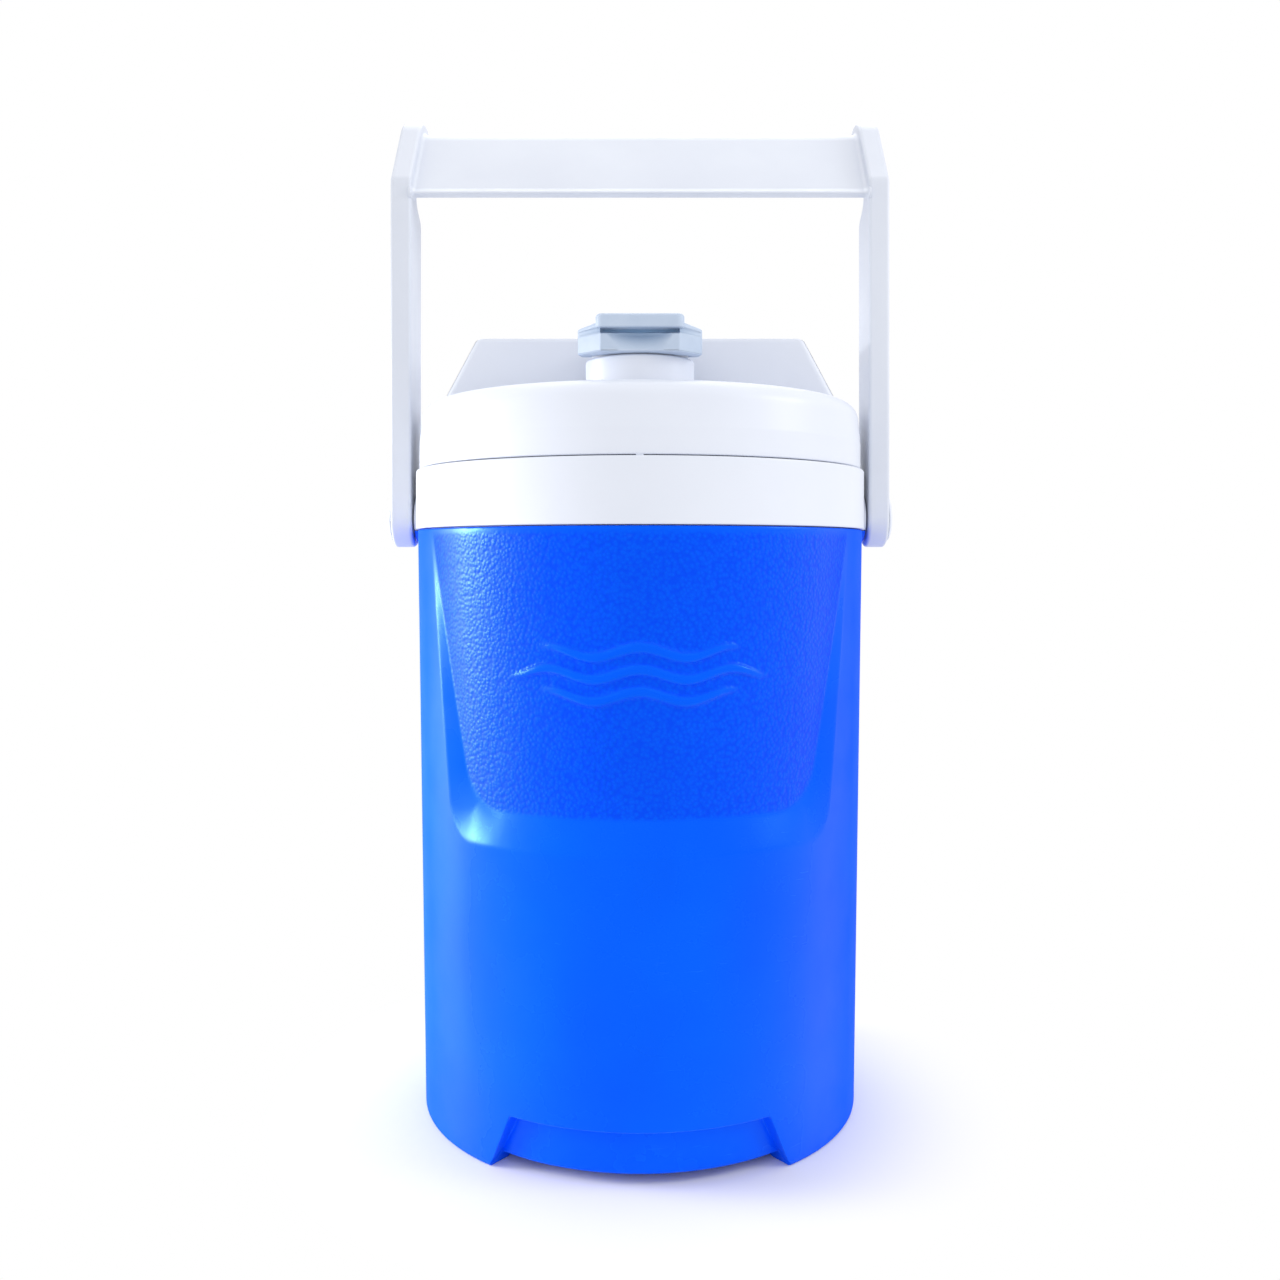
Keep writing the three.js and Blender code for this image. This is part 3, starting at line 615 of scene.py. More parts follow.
def cap_plastic():
    """Softer grey-blue plastic with a fine spark-eroded texture, and painted shade in the slot under the tab
    and in the thumb scoop.
    """
    look = Look("cap_plastic", Specular_IOR_Level=0.4)
    colour = look.mixed(look.clouds(9, 4), (0.46, 0.55, 0.7), (0.51, 0.6, 0.745))
    # painted shade: the slot under the tab and the thumb scoop are darkened towards deep blue
    colour = look.tinted(colour, look.stored("painted_scoop_shade"), 0.92, (0.13, 0.25, 0.42))
    colour = look.tinted(colour, look.edge_wear(), 0.5, (0.66, 0.73, 0.85))
    roughness = look.uneven(3, 4, 0.38, 0.5)
    look.relief(look.noise(0.5, 4), 0.02)
    return look.finished(colour, roughness)


def foam():
    look = Look("rigid_foam", Specular_IOR_Level=0.2)
    cells = look.cells(0.9)
    colour = look.mixed(look.ranged(cells, 0.1, 0.7, 0.0, 1.0), (0.82, 0.72, 0.47), (0.62, 0.5, 0.28))
    roughness = look.uneven(6, 3, 0.85, 0.98)
    look.relief(cells, 0.3)
    return look.finished(colour, roughness)


def rubber():
    look = Look("seal_rubber", Specular_IOR_Level=0.3)
    colour = look.mixed(look.clouds(5, 4), (0.58, 0.6, 0.63), (0.68, 0.7, 0.72))
    roughness = look.uneven(2, 3, 0.6, 0.78)
    look.relief(look.noise(0.4, 3), 0.02)
    return look.finished(colour, roughness)


def steel():
    """Drawn steel wire: fine lines along X."""
    look = Look("pin_steel", Metallic=1.0)
    lines = look.noise(0.5, 4, look.stretched((0.05, 1.0, 1.0)))
    colour = look.mixed(look.ranged(lines, 0.3, 0.7, 0.0, 1.0), (0.5, 0.51, 0.53), (0.68, 0.69, 0.7))
    roughness = look.ranged(lines, 0.3, 0.7, 0.2, 0.38)
    look.relief(lines, 0.01)
    return look.finished(colour, roughness)


BLUE = blue_plastic()
WHITE = white_plastic("white_plastic", (0.72, 0.755, 0.85), (0.76, 0.795, 0.885))
# painted shade: a darker copy of the white plastic, used on the handle
HANDLE_SHADED_WHITE = white_plastic("handle_white_painted_shade", (0.66, 0.695, 0.785), (0.7, 0.735, 0.82), (0.32, 0.44), 45)
LINER_WHITE = white_plastic("liner_white", (0.76, 0.77, 0.78), (0.81, 0.815, 0.82), (0.34, 0.46), 30)
CAP_GREY = cap_plastic()
FOAM = foam()
RUBBER = rubber()
STEEL = steel()


# -------- drum


def body_radius(z):
    return BASE_R + (BODY_R - BASE_R) * z / SHELL_TOP


def kick_half(z):
    """Half the angle that a kick recess spans at a height, in degrees."""
    return KICK_HALF_TOP + (KICK_HALF_BOTTOM - KICK_HALF_TOP) * (KICK_TOP - z) / KICK_TOP


def from_kick(angle):
    """Angle from the nearer kick recess's middle, in front or behind."""
    away = np.abs(angle)
    return np.minimum(away, 180 - away)


def drum_columns():
    """Angles of the drum's columns, closer together at the panel's band and the recesses' walls."""
    wall = (KICK_HALF_TOP + KICK_HALF_BOTTOM) / 2
    steps = [-2.2, -1.6, -1.1, -0.8, -0.55, -0.35, -0.15, 0.05, 0.25, 0.45, 0.7, 1.0, 1.4, 2.0]
    edge = [wall + step for step in steps]
    half = spaced(0, edge[0], 0.55) + edge + spaced(edge[-1] + 0.45, 63, 0.45)
    half += spaced(63, 180 - edge[-1], 1.6) + [180 - a for a in reversed(edge)]
    half += spaced(180 - edge[0] + 1, 180, 1.4)
    return np.array(sorted([-a for a in half if a > 0] + half + [180])), wall


def slid_columns(columns, wall, z):
    """Columns slid sideways so that the same ones follow a recess's slanting walls."""
    away = from_kick(columns)
    shift = kick_half(np.clip(z, 0, KICK_TOP)) - wall
    fade = 1 - np.clip((z - KICK_TOP - 2) / 50, 0, 1)
    hat = np.clip(np.minimum((away - 4) / (wall - 7), (80 - away) / (77 - wall)), 0, 1)
    moved = away + shift * fade * hat
    behind = np.abs(columns) > 90
    return np.sign(columns) * np.where(behind, 180 - moved, moved)


def rounded_inside(side, below, radius):
    """Distance inside a corner that is rounded, from the distances to its two straight edges."""
    near = (side < radius) & (below < radius)
    corner = radius - np.hypot(radius - np.minimum(side, radius), radius - np.minimum(below, radius))
    return np.where(near, corner, np.minimum(side, below))


def panel(angle, z):
    """(depth of the front panel below the drum, share of pebbling)."""
    up = (z - PANEL_LOW) / (PANEL_TOP - PANEL_LOW)
    to_mm = math.radians(BODY_R)
    outer_half = PANEL_HALF[0] + (PANEL_HALF[1] - PANEL_HALF[0]) * up
    inner_half = PANEL_INNER_HALF[0] + (PANEL_INNER_HALF[1] - PANEL_INNER_HALF[0]) * up
    from_outer = rounded_inside((outer_half - np.abs(angle)) * to_mm, z - PANEL_LOW, PANEL_CORNER)
    from_inner = rounded_inside((inner_half - np.abs(angle)) * to_mm, z - PANEL_INNER_LOW, PANEL_INNER_CORNER)
    width = np.maximum(from_outer - from_inner, 0.5)
    share = soft_clamp(from_outer / width, PANEL_SOFT)
    floor = PANEL_DEPTH * soft_clamp((PANEL_TOP - z) / (PANEL_TOP - PANEL_INNER_LOW), 0.03)
    grain = np.clip((from_outer / width - 0.95) * 8, 0, 1) * np.clip((GRAIN_TOP - z) / 1.5, 0, 1)
    return floor * share, grain


def waves(angle, z):
    """Height of the three raised waves on the panel, as a share of WAVE_HEIGHT."""
    across = np.radians(angle) * (BODY_R - PANEL_DEPTH / 2)
    height = np.zeros(np.broadcast(angle, z).shape)
    for row, reach in ((-1, 30), (0, 40), (1, 30)):
        fit = np.clip(1 - (across / reach) ** 2, 0, 1)
        line = WAVE_Z + row * WAVE_PITCH + WAVE_SWING * np.cos(2 * math.pi * across / WAVE_LENGTH)
        half = WAVE_HALF_WIDTH * fit**0.35 + 0.01
        ridge = soft_clamp((1 - np.abs(z - line) / half) * 2.2, 0.3)
        height = np.maximum(height, ridge * np.clip(fit * 2.5, 0, 1))
    return height


def drum_radius(angle, z):
    """(radius, share of pebbling, share that lies inside a kick recess) of the drum's outside."""
    round_kick = from_kick(angle)
    side = (kick_half(np.clip(z, 0, KICK_TOP)) - round_kick) * math.radians(BASE_R)
    inside = soft_clamp(side / (2 * KICK_SOFT) + 0.5, 0.45)
    under = soft_clamp((KICK_TOP - z) / (2 * KICK_SOFT) + 0.5, 0.45)
    depth, grain = panel(angle, z)
    mark = waves(angle, z)
    radius = body_radius(z) - depth + WAVE_HEIGHT * mark
    return radius - (body_radius(z) - KICK_R) * inside * under, grain * (1 - mark), inside


def drum_rows():
    """Heights of the drum's rows from top to bottom, closer together where the surface turns sharply."""
    waves_top, waves_low = WAVE_Z + 10.6, WAVE_Z - 10.9
    ledge_top, ledge_low = PANEL_INNER_LOW + 2.5, PANEL_LOW - 1.6
    rows = spaced(SHELL_TOP - 0.5, waves_top, 1.1) + spaced(waves_top, waves_low, 0.48)
    rows += spaced(waves_low, ledge_top, 1.4) + spaced(ledge_top, ledge_low, 0.65)
    rows += spaced(ledge_low, KICK_TOP + 3, 4.5)
    steps = (2, 1.3, 0.9, 0.6, 0.4, 0.2, 0.05, -0.1, -0.3, -0.5, -0.8, -1.2, -1.8)
    rows += [KICK_TOP + step for step in steps]
    return rows + spaced(KICK_TOP - 2.6, FOOT_EDGE, 1.2)


def drum():
    columns, wall = drum_columns()
    rings, grains = [], []

    def ring(angle, radius, z, grain):
        turn = np.radians(angle)
        z = np.broadcast_to(z, angle.shape)
        rings.append(np.column_stack([radius * np.sin(turn), -radius * np.cos(turn), z]))
        grains.append(np.broadcast_to(grain, angle.shape))

    top = drum_radius(columns, SHELL_TOP)[0]
    for inset, rise in edge_rings(0.5, 3)[:-1]:
        ring(columns, top - inset, SHELL_TOP - rise, 0)
    outside = []
    for z in drum_rows():
        angle = slid_columns(columns, wall, z)
        radius, grain, inside = drum_radius(angle, z)
        low = KICK_RIM_Z * inside
        height = np.where(z < KICK_TOP, low + z * (KICK_TOP - low) / KICK_TOP, z)
        ring(angle, radius, height, grain)
        outside.append((z, angle, radius, height))
    angle = slid_columns(columns, wall, 0)
    radius, _, inside = drum_radius(angle, 0.0)
    low = KICK_RIM_Z * inside
    for inset, rise in reversed(edge_rings(FOOT_EDGE, 4)):
        ring(angle, radius - inset, low + rise * 0.99, 0)
    foot_in = FOOT_INNER_R - 1.4 * inside
    for step in (0.0, 0.3):
        ring(angle, foot_in + 1 - step * 3, low + step * 0.4, 0)
    ring(angle, foot_in - 1.6, FLOOR_Z - 0.4, 0)
    ring(angle, foot_in - 2.2, FLOOR_Z, 0)
    for groove in BASE_GROOVES:
        for step, sunk in ((1.6, 0), (1.2, 0.1), (0.8, 0.5), (-0.8, 0.5), (-1.2, 0.1), (-1.6, 0)):
            ring(angle, groove + step, FLOOR_Z + sunk, 0)
    for radius, up in ((PORT_R + 0.5, 0), (PORT_R, 0.5), (PORT_R, WALL), (FOOT_INNER_R - 3, WALL)):
        ring(angle, radius, FLOOR_Z + up, 0)
    for z, row_angle, row_radius, height in reversed(outside[::4]):
        if z > FLOOR_Z + 5:
            ring(row_angle, row_radius - WALL, height, 0)
    ring(columns, top - WALL, SHELL_TOP, 0)
    shape = Shape()
    shape.band(rings, closed=True)
    grain_of = np.concatenate(grains)
    for side in (-1, 1):
        outline = np.array(arc((0, PIVOT[2]), BOSS_R, -148, -32, 24))
        outline[0][1] = outline[-1][1] = SHELL_TOP
        shape.slab(outline, BODY_R - 2, SHELL_HIGH[0], (0.05, 0.4), mirrored(side))
    grain_values = np.zeros(len(shape.points))
    grain_values[: len(grain_of)] = grain_of
    return shape, grain_values


drum_shape, drum_grain = drum()
drum_piece = piece("drum", drum_shape, "jug_body", BLUE, ["outer_shell"], 55, False)
painted(drum_piece, drum_shape, "grain", drum_grain)


# -------- foam port plug


def port_plug():
    low, high = PORT_LOW[2], PORT_HIGH[2]
    flange, shank, under = PORT_HIGH[0], PORT_R - 0.3, FLOOR_Z - 0.3
    profile = [(0, low + 0.5), (3.4, low + 0.5), (4.2, low), (flange, low), (flange, under)]
    profile += [(shank, under), (shank, high), (0, high)]
    shape = Shape()
    shape.band(turned(rounded(profile, [0, 0.4, 0.4, 0.5, 0.2, 0.1, 0.5, 0], closed=False), SMALL_ROUND))
    return shape


piece("port_plug", port_plug(), "jug_body", BLUE, ["foam_port_plug"])


# -------- collar


def collar():
    low, top = COLLAR_FOOT, COLLAR_HIGH[2]
    lip_out = BODY_R - WALL - 0.3
    mouth = NECK_R + 0.4
    profile = [(COLLAR_LIP_R, COLLAR_LOW[2]), (lip_out, COLLAR_LOW[2]), (lip_out, low), (COLLAR_R, low)]
    profile += [(COLLAR_R, top), (mouth, top), (mouth, top - WALL), (COLLAR_BORE_R, top - WALL)]
    profile += [(COLLAR_BORE_R, low + WALL), (COLLAR_LIP_R, low + WALL)]
    shape = Shape()
    radii = [0.3, 0.5, 0.1, 0.5, 0.6, 0.4, 0.2, 0.2, 0.2, 0.2]
    shape.band(turned(rounded(profile, radii)), closed=True)
    for side in (-1, 1):
        outline = arc((0, PIVOT[2]), BOSS_R, -30, 210, 40)
        outline[0] = (outline[0][0], low)
        outline[-1] = (outline[-1][0], low)
        hole = (circle(PIVOT_BORE_R, 40, (0, PIVOT[2])), 0.2)
        inside = COLLAR_BORE_R + 0.6
        shape.slab(outline, inside, COLLAR_HIGH[0], (0.05, 0.4), mirrored(side), holes=[hole])
    return shape


piece("collar", collar(), "jug_body", WHITE, ["collar_ring"])


# -------- liner


def thread_section(height):
    """Half-round section of a thread rib, as (outwards, up), rooted a little inside its wall."""
    upper = [(height, 0.2), (height - 0.35, 0.5), (height * 0.35, THREAD_HALF), (-0.4, THREAD_HALF + 0.4)]
    lower = [(out, -up) for out, up in reversed(upper)]
    return lower + upper


def liner():
    low, top = LINER_LOW[2], LINER_HIGH[2]
    flare_low, flare_top = NECK_FLARE
    profile = [(0, low), (LINER_R, low), (LINER_R, flare_low), (NECK_R, flare_top), (NECK_R, top)]
    profile += [(NECK_R - WALL, top), (NECK_R - WALL, flare_top + 0.8), (LINER_R - WALL, flare_low + 0.8)]
    profile += [(LINER_R - WALL, low + WALL), (0, low + WALL)]
    shape = Shape()
    shape.band(turned(rounded(profile, [0, 8, 4, 4, 0.8, 0.8, 4, 4, 5.6, 0], closed=False)))
    shape.rib(thread_section(1.8), NECK_R, NECK_RIB_Z, 0, 432, 1)
    return shape


piece("liner", liner(), "jug_body", LINER_WHITE, ["inner_liner"])


# -------- pivot pins


def pivot_pin(side):
    inner, outer = PIN_LOW[0], PIN_HIGH[0]
    face = ARM_OUT + 0.3
    head_r = (PIN_HIGH[1] - PIN_LOW[1]) / 2
    profile = [(0, inner), (4.2, inner), (4.4, inner + 0.8), (3.2, inner + 1.9), (3.2, face)]
    profile += [(head_r, face), (head_r, face + 0.5), (head_r - 1.2, outer)]
    profile += [(2.6, outer), (2.2, outer - 0.4), (0, outer - 0.4)]
    radii = [0, 0.3, 0.3, 0.1, 0.1, 0.2, 0.4, 1.0, 0.2, 0.2, 0]
    shape = Shape()
    shape.band(turned_on_x(rounded(profile, radii, closed=False), (0, PIVOT[2])) * (side, 1, 1))
    return shape


piece("pin_left", pivot_pin(-1), "jug_body", WHITE, ["pivot_pin_left"])
piece("pin_right", pivot_pin(1), "jug_body", WHITE, ["pivot_pin_right"])


# -------- handle

LEAN_COS = math.cos(math.radians(HOOK_LEAN))
LEAN_SIN = math.sin(math.radians(HOOK_LEAN))
RUN = -LEAN_SIN / LEAN_COS  # how far back the slanting front runs for each millimetre up


def lean_point(radius):
    """Where an arc about the hook's centre runs into its slanting straight."""
    return HOOK_Y + radius * LEAN_COS, HOOK_Z + radius * LEAN_SIN


def lean_y(radius, z):
    y, foot = lean_point(radius)
    return y - (foot - z) * RUN


def lean_z(radius, at_y):
    y, foot = lean_point(radius)
    return foot - (y - at_y) / RUN


def arm_outline():
    inner = HOOK_R - HOOK_BAR
    tip = HOOK_Y + inner + HOOK_BAR / 2
    parts = [
        (arc((0, PIVOT[2]), ARM_HALF, 180, 360, 40), 0),
        ([(ARM_HALF, ARM_SHOULDER_Z)], 4),
        ([(lean_y(inner, HOOK_NECK_Z), HOOK_NECK_Z)], 5),
        (arc((HOOK_Y, HOOK_Z), inner, HOOK_LEAN, 0, 28), 0),
        (arc((tip, HOOK_TIP_Z), HOOK_BAR / 2, 180, 360, 20), 0),
        (arc((HOOK_Y, HOOK_Z), HOOK_R, 0, HOOK_LEAN, 40), 0),
        ([(-ARM_HALF, lean_z(HOOK_R, -ARM_HALF))], 4),
    ]
    return joined(parts, 8)


def slot_outline():
    return arc((0, SLOT_LOW), SLOT_HALF, 180, 360, 20) + arc((0, SLOT_HIGH), SLOT_HALF, 0, 180, 20)


def grip_section():
    outer = HOOK_R - GRIP_INSET
    inner = outer - GRIP_WALL
    start = (GRIP_LIP_Y + GRIP_LIP, lean_z(outer, GRIP_LIP_Y + GRIP_LIP))
    back = (GRIP_LIP_Y + GRIP_LIP_FOOT, lean_z(inner, GRIP_LIP_Y + GRIP_LIP_FOOT))
    parts = [
        ([(GRIP_LIP_Y, GRIP_FRONT_Z), (back[0] - 1, GRIP_FRONT_Z)], 0.7),
        ([back], 0.6),
        (arc((HOOK_Y, HOOK_Z), inner, HOOK_LEAN, 0, 28), 0),
        ([(HOOK_Y + inner, GRIP_REAR_Z), (HOOK_Y + outer, GRIP_REAR_Z)], 1.4),
        (arc((HOOK_Y, HOOK_Z), outer, 0, HOOK_LEAN, 36), 0),
        ([start], 0.8),
        ([(GRIP_LIP_Y, start[1] - GRIP_LIP_DROP)], 0.7),
    ]
    return anticlockwise(joined(parts, 4))


def handle():
    shape = Shape()
    outline = arm_outline()
    bore = (circle(PIVOT_BORE_R, 48, (0, PIVOT[2])), 0.3)
    pit = (slot_outline(), SLOT_DEPTH, 0.5)
    for side in (-1, 1):
        shape.slab(outline, ARM_IN, ARM_OUT, (ARM_EDGE, ARM_EDGE), mirrored(side), [bore], [pit])
    section = grip_section()
    rings = []
    for side in (-1, 1):
        flare = []
        for k in range(9):
            away = GRIP_FILLET * (1 - math.cos(math.pi / 2 * k / 8))
            spread = GRIP_FILLET - math.sqrt(max(0, GRIP_FILLET**2 - (GRIP_FILLET - away) ** 2))
            flare.append(sideways(grown(section, spread * 0.9), side * (ARM_IN + 0.02 - away)))
        flare.insert(0, sideways(grown(section, GRIP_FILLET * 0.9), side * (ARM_IN + 0.8)))
        rings.extend(flare if side < 0 else reversed(flare))
    shape.band(rings)
    shape.cap(rings[0])
    shape.cap(rings[-1])
    return shape


piece("handle", handle(), "handle", HANDLE_SHADED_WHITE, ["bail_handle"])


# -------- lid


def block_outline(z, spread, notch):
    """Plan outline of the raised block: a disc with a flat front, in which a notch may be sunk."""
    slope = (BLOCK_BASE_R - BLOCK_TOP_R) / (BLOCK_TOP - DECK_Z)
    radius = BLOCK_BASE_R - (z - DECK_Z) * slope + spread
    front = BLOCK_FRONT - spread
    side = math.sqrt(radius**2 - front**2)
    start = math.degrees(math.atan2(front, side))
    back = arc((0, 0), radius, start, 180 - start, 150)
    deep = max(notch, 0.0)
    soft = min(0.9, deep * 0.45)
    floor_y = front + deep
    notch_points = [(-NOTCH_HALF, front), (-NOTCH_HALF, floor_y), (NOTCH_HALF, floor_y), (NOTCH_HALF, front)]
    return [(point, 0) for point in back] + [(point, soft) for point in notch_points]


def ring_of(outline, steps=4):
    """The block's outline with soft corners, which take the same number of points on every ring."""
    points = [np.array(p, float) for p, _ in outline]
    last = len(outline) - 5  # last point of the round back; the notch's four corners follow it
    out = []
    for i, (point, radius) in enumerate(outline):
        point = np.array(point, float)
        if i in (0, last):
            radius = BLOCK_CORNER
        elif i < last:
            out.append(point)
            continue
        if radius < 0.01:
            out.extend([point] * (steps + 1))
            continue
        back, ahead = points[i - 1] - point, points[(i + 1) % len(points)] - point
        if i == 0:
            ahead = points[3] - point
        if i == last:
            back = points[i - 3] - point
        reach_back, reach_ahead = np.linalg.norm(back), np.linalg.norm(ahead)
        back, ahead = back / reach_back, ahead / reach_ahead
        reach = min(radius, reach_back * 0.45, reach_ahead * 0.45)
        for k in range(steps + 1):
            t = k / steps
            out.append(point + back * reach * (1 - t) ** 2 + ahead * reach * t**2)
    return np.array(out)


def block_rings():
    """Rings up the raised block: foot fillet, slope, the notch's floor and the rounded top edge."""
    # (height, spread, depth of the notch)
    levels = [(DECK_Z + up, spread, 0) for up, spread in reversed(edge_rings(BLOCK_FOOT, 5))]
    levels += [(z, 0, 0) for z in (236, 240, NOTCH_FLOOR - 0.6)]
    levels += [(NOTCH_FLOOR - 0.3, 0, 0.08), (NOTCH_FLOOR - 0.1, 0, 0.25), (NOTCH_FLOOR, 0, 0.6)]
    deep = NOTCH_BACK - BLOCK_FRONT
    levels += [(NOTCH_FLOOR + up, 0, deep - short) for up, short in ((0, 0.8), (0.2, 0.25), (0.8, 0))]
    levels += [(BLOCK_TOP - BLOCK_EDGE - 2, 0, deep)]
    levels += [(BLOCK_TOP - rise, -inset, deep) for inset, rise in reversed(edge_rings(BLOCK_EDGE, 6))]
    return [upright(ring_of(block_outline(z, spread, notch)), z) for z, spread, notch in levels]


def lid():
    shape = Shape()
    low = LID_LOW[2] - LID_RIM_DROP
    deck_r = LID_SHOULDER_R - LID_SHOULDER
    outer = [(LID_R, low), (LID_R, low + 8)]
    shoulder = arc((deck_r, DECK_Z - LID_SHOULDER), LID_SHOULDER, 0, 90, 14)
    inner_shoulder = arc((deck_r, DECK_Z - LID_SHOULDER), LID_SHOULDER - WALL, 90, 0, 8)
    profile = inner_shoulder + [(LID_BORE_R, low + 4), (LID_BORE_R, low)] + outer + shoulder
    radii = [0] * len(inner_shoulder) + [0, 0.6, 0.45, 8] + [0] * len(shoulder)
    skirt = turned(rounded(profile, radii, 6, closed=False))
    shape.band(skirt)

    neck_profile = [(SPOUT_R + SPOUT_FOOT, DECK_Z), (SPOUT_R, DECK_Z), (SPOUT_R, SPOUT_SHOULDER)]
    neck_profile += [(SPOUT_LIP_R, SPOUT_SHOULDER), (SPOUT_LIP_R, SPOUT_TOP), (SPOUT_LIP_R - 1.2, SPOUT_TOP)]
    neck_profile = rounded(neck_profile, [0, SPOUT_FOOT, 0.7, 0.4, 0.6, 0], 6, closed=False)
    neck_rings = turned(neck_profile, SMALL_ROUND, (0, SPOUT_Y))
    shape.band(neck_rings)
    bore_profile = [(SPOUT_BORE_R + 0.5, SPOUT_TOP), (SPOUT_BORE_R, SPOUT_TOP - 0.5)]
    bore_profile += [(SPOUT_BORE_R, DECK_Z - WALL)]
    bore = turned(rounded(bore_profile, [0, 0.4, 0], 4, closed=False), SMALL_ROUND, (0, SPOUT_Y))
    shape.band(bore)
    vent_profile = [(VENT_R + 0.1, SPOUT_TOP), (VENT_R, SPOUT_TOP - 0.2), (VENT_R, SPOUT_TOP - 5)]
    vent = turned(vent_profile, 20, (0, VENT_Y))
    shape.band(vent)
    shape.cap(vent[-1])
    shape.cap(neck_rings[-1], bore[0], vent[0])
    shape.cap(skirt[0], bore[-1])

    rings = block_rings()
    shape.band(rings)
    shape.cap(rings[-1])
    shape.cap(skirt[-1], rings[0], neck_rings[0])

    shape.rib(thread_section(2.2), LID_BORE_R, NECK_RIB_Z - LID_RIB_DROP, 60, 330, -1)
    front, back = NUB_INSET - LID_R, NUB_BACK - LID_R
    nub = [(-NUB_HALF, front), (NUB_HALF, front), (NUB_HALF, back), (-NUB_HALF, back)]
    shape.slab(rounded(nub, 0.3), low - NUB_DROP, low + NUB_RISE, (0.1, 0.2), upright)
    return shape


piece("lid", lid(), "lid", WHITE, ["lid_shell"])


# -------- flip cap


def cap_outline():
    """Eight-sided plan outline with soft corners; its front edge has extra points for the thumb scoop."""
    half, cut = CAP_HALF, CAP_HALF - CAP_CHAMFER
    front = [(x, -half) for x in np.linspace(-cut, cut, 47)]
    points = front + [(half, -cut), (half, cut), (cut, half), (-cut, half), (-half, cut), (-half, -cut)]
    radii = [1.6] + [0] * (len(front) - 2) + [1.6] + [1.6] * 6
    return rounded(points, radii, 4)


def scooped(points):
    """(points with the thumb scoop pressed in and the sides falling away, share of painted shade in the slot
    and scoop).
    """
    x, y, z = points.T
    front = SPOUT_Y - CAP_HALF
    on_front = np.clip((front + 2.2 - y) / 1.6, 0, 1)
    under_tab = np.clip((SCOOP_TOP - z) / 0.4, 0, 1)
    slot = np.clip((SCOOP_SLOT_HALF - np.abs(x)) / 0.6, 0, 1) * np.clip((z - SCOOP_SLOT_LOW) / 0.6, 0, 1)
    slot *= under_tab
    bowl_half = 6.6 + 0.75 * np.clip(z - 242, 0, 5)
    round_bowl = np.clip(1 - (x / bowl_half) ** 2, 0, 1) ** 0.7
    bowl = round_bowl * np.clip((z - SCOOP_BOWL_LOW) / 4.6, 0, 1) ** 1.2 * under_tab
    pressed = np.maximum(SCOOP_SLOT_DEPTH * slot, SCOOP_BOWL_DEPTH * bowl)
    fall = np.clip((np.abs(x) - TAB_HALF + 0.5) / 5.5, 0, 1) * np.clip((z - 246) / 4, 0, 1)
    rise = 0.14 * np.clip(y - front - CAP_CHAMFER, 0, 40) * np.clip((CAP_LOW[2] + 5.5 - z) / 5.5, 0, 1)
    places = np.column_stack([x, y + pressed * on_front, z - 1.3 * fall + rise])
    # share of painted shade: full in the slot under the tab, less in the bowl below it
    return places, np.maximum(slot, 0.62 * bowl) * on_front


def flip_cap():
    low = CAP_LOW[2]
    shape = Shape()

    def down(loop, height):
        """Upside down, so that the cavity is a pit in the slab's high face."""
        return upright(loop + np.array([0, SPOUT_Y]), -height)

    cavity = circle(SPOUT_LIP_R + 0.6, SMALL_ROUND)
    rows = [-z for z in np.arange(249.0, 241.2, -0.3)]
    depth = CAP_TOP - CAP_ROOF - low
    shape.slab(cap_outline(), -CAP_TOP, -low, (1.0, 0.5), down, pits=[(cavity, depth, 0.5)], rows=rows)
    places, painted_scoop_shade = scooped(np.array(shape.points))
    shape.points = [tuple(p) for p in places]

    front = SPOUT_Y - CAP_HALF
    near, far = front - TAB_OVERHANG, front + 13
    tab = [(-TAB_HALF, near), (TAB_HALF, near), (TAB_HALF, far), (-TAB_HALF, far)]
    tab_shape = Shape()
    tab_shape.slab(rounded(tab, [2.2, 2.2, 3, 3], 6), TAB_LOW, TAB_TOP, (0.5, 1.1), upright)
    shape.add(tab_shape.points, tab_shape.faces)

    half = NOTCH_HALF - 1
    near, far = front + 2 * CAP_HALF - 2, HINGE[1]
    tongue = [(-half, near), (half, near), (half, far), (-half, far)]
    shape.slab(rounded(tongue, 0.4), HINGE[2] - 1.6, HINGE[2] + 1.4, (0.4, 0.6), upright)
    barrel = [(KNUCKLE_BORE_R, -half), (KNUCKLE_R, -half), (KNUCKLE_R, half), (KNUCKLE_BORE_R, half)]
    shape.band(turned_on_x(rounded(barrel, [0.1, 0.5, 0.5, 0.1]), (HINGE[1], HINGE[2]), 64), closed=True)
    return shape, painted_scoop_shade


cap_shape, cap_painted_scoop_shade = flip_cap()
cap_piece = piece("cap", cap_shape, "cap", CAP_GREY, ["spout_cap"])
# stores the cap's painted shade for the slot and scoop on its points
painted(cap_piece, cap_shape, "painted_scoop_shade", cap_painted_scoop_shade)


def cap_seal():
    low, top = SEAL_LOW[2], SEAL_HIGH[2]
    disc = SPOUT_TOP + 0.3
    nose, rim = SPOUT_BORE_R - 0.4, SEAL_HIGH[0]
    profile = [(0, low + 0.5), (nose - 3, low + 0.5), (nose - 2.2, low), (nose - 0.6, low)]
    profile += [(nose, disc - 1.5), (nose, disc), (rim, disc), (rim, top), (0, top)]
    shape = Shape()
    radii = [0, 0.4, 0.3, 0.6, 0.5, 0.3, 0.5, 0.3, 0]
    shape.band(turned(rounded(profile, radii, closed=False), SMALL_ROUND, (0, SPOUT_Y)))
    return shape


piece("cap_seal", cap_seal(), "cap", RUBBER, ["spout_cap_seal"])


def hinge_pin():
    radius = (HINGE_HIGH[2] - HINGE_LOW[2]) / 2
    profile = [(0, HINGE_LOW[0]), (radius, HINGE_LOW[0]), (radius, HINGE_HIGH[0]), (0, HINGE_HIGH[0])]
    shape = Shape()
    shape.band(turned_on_x(rounded(profile, [0, 0.4, 0.4, 0], closed=False), (HINGE[1], HINGE[2]), 48))
    return shape


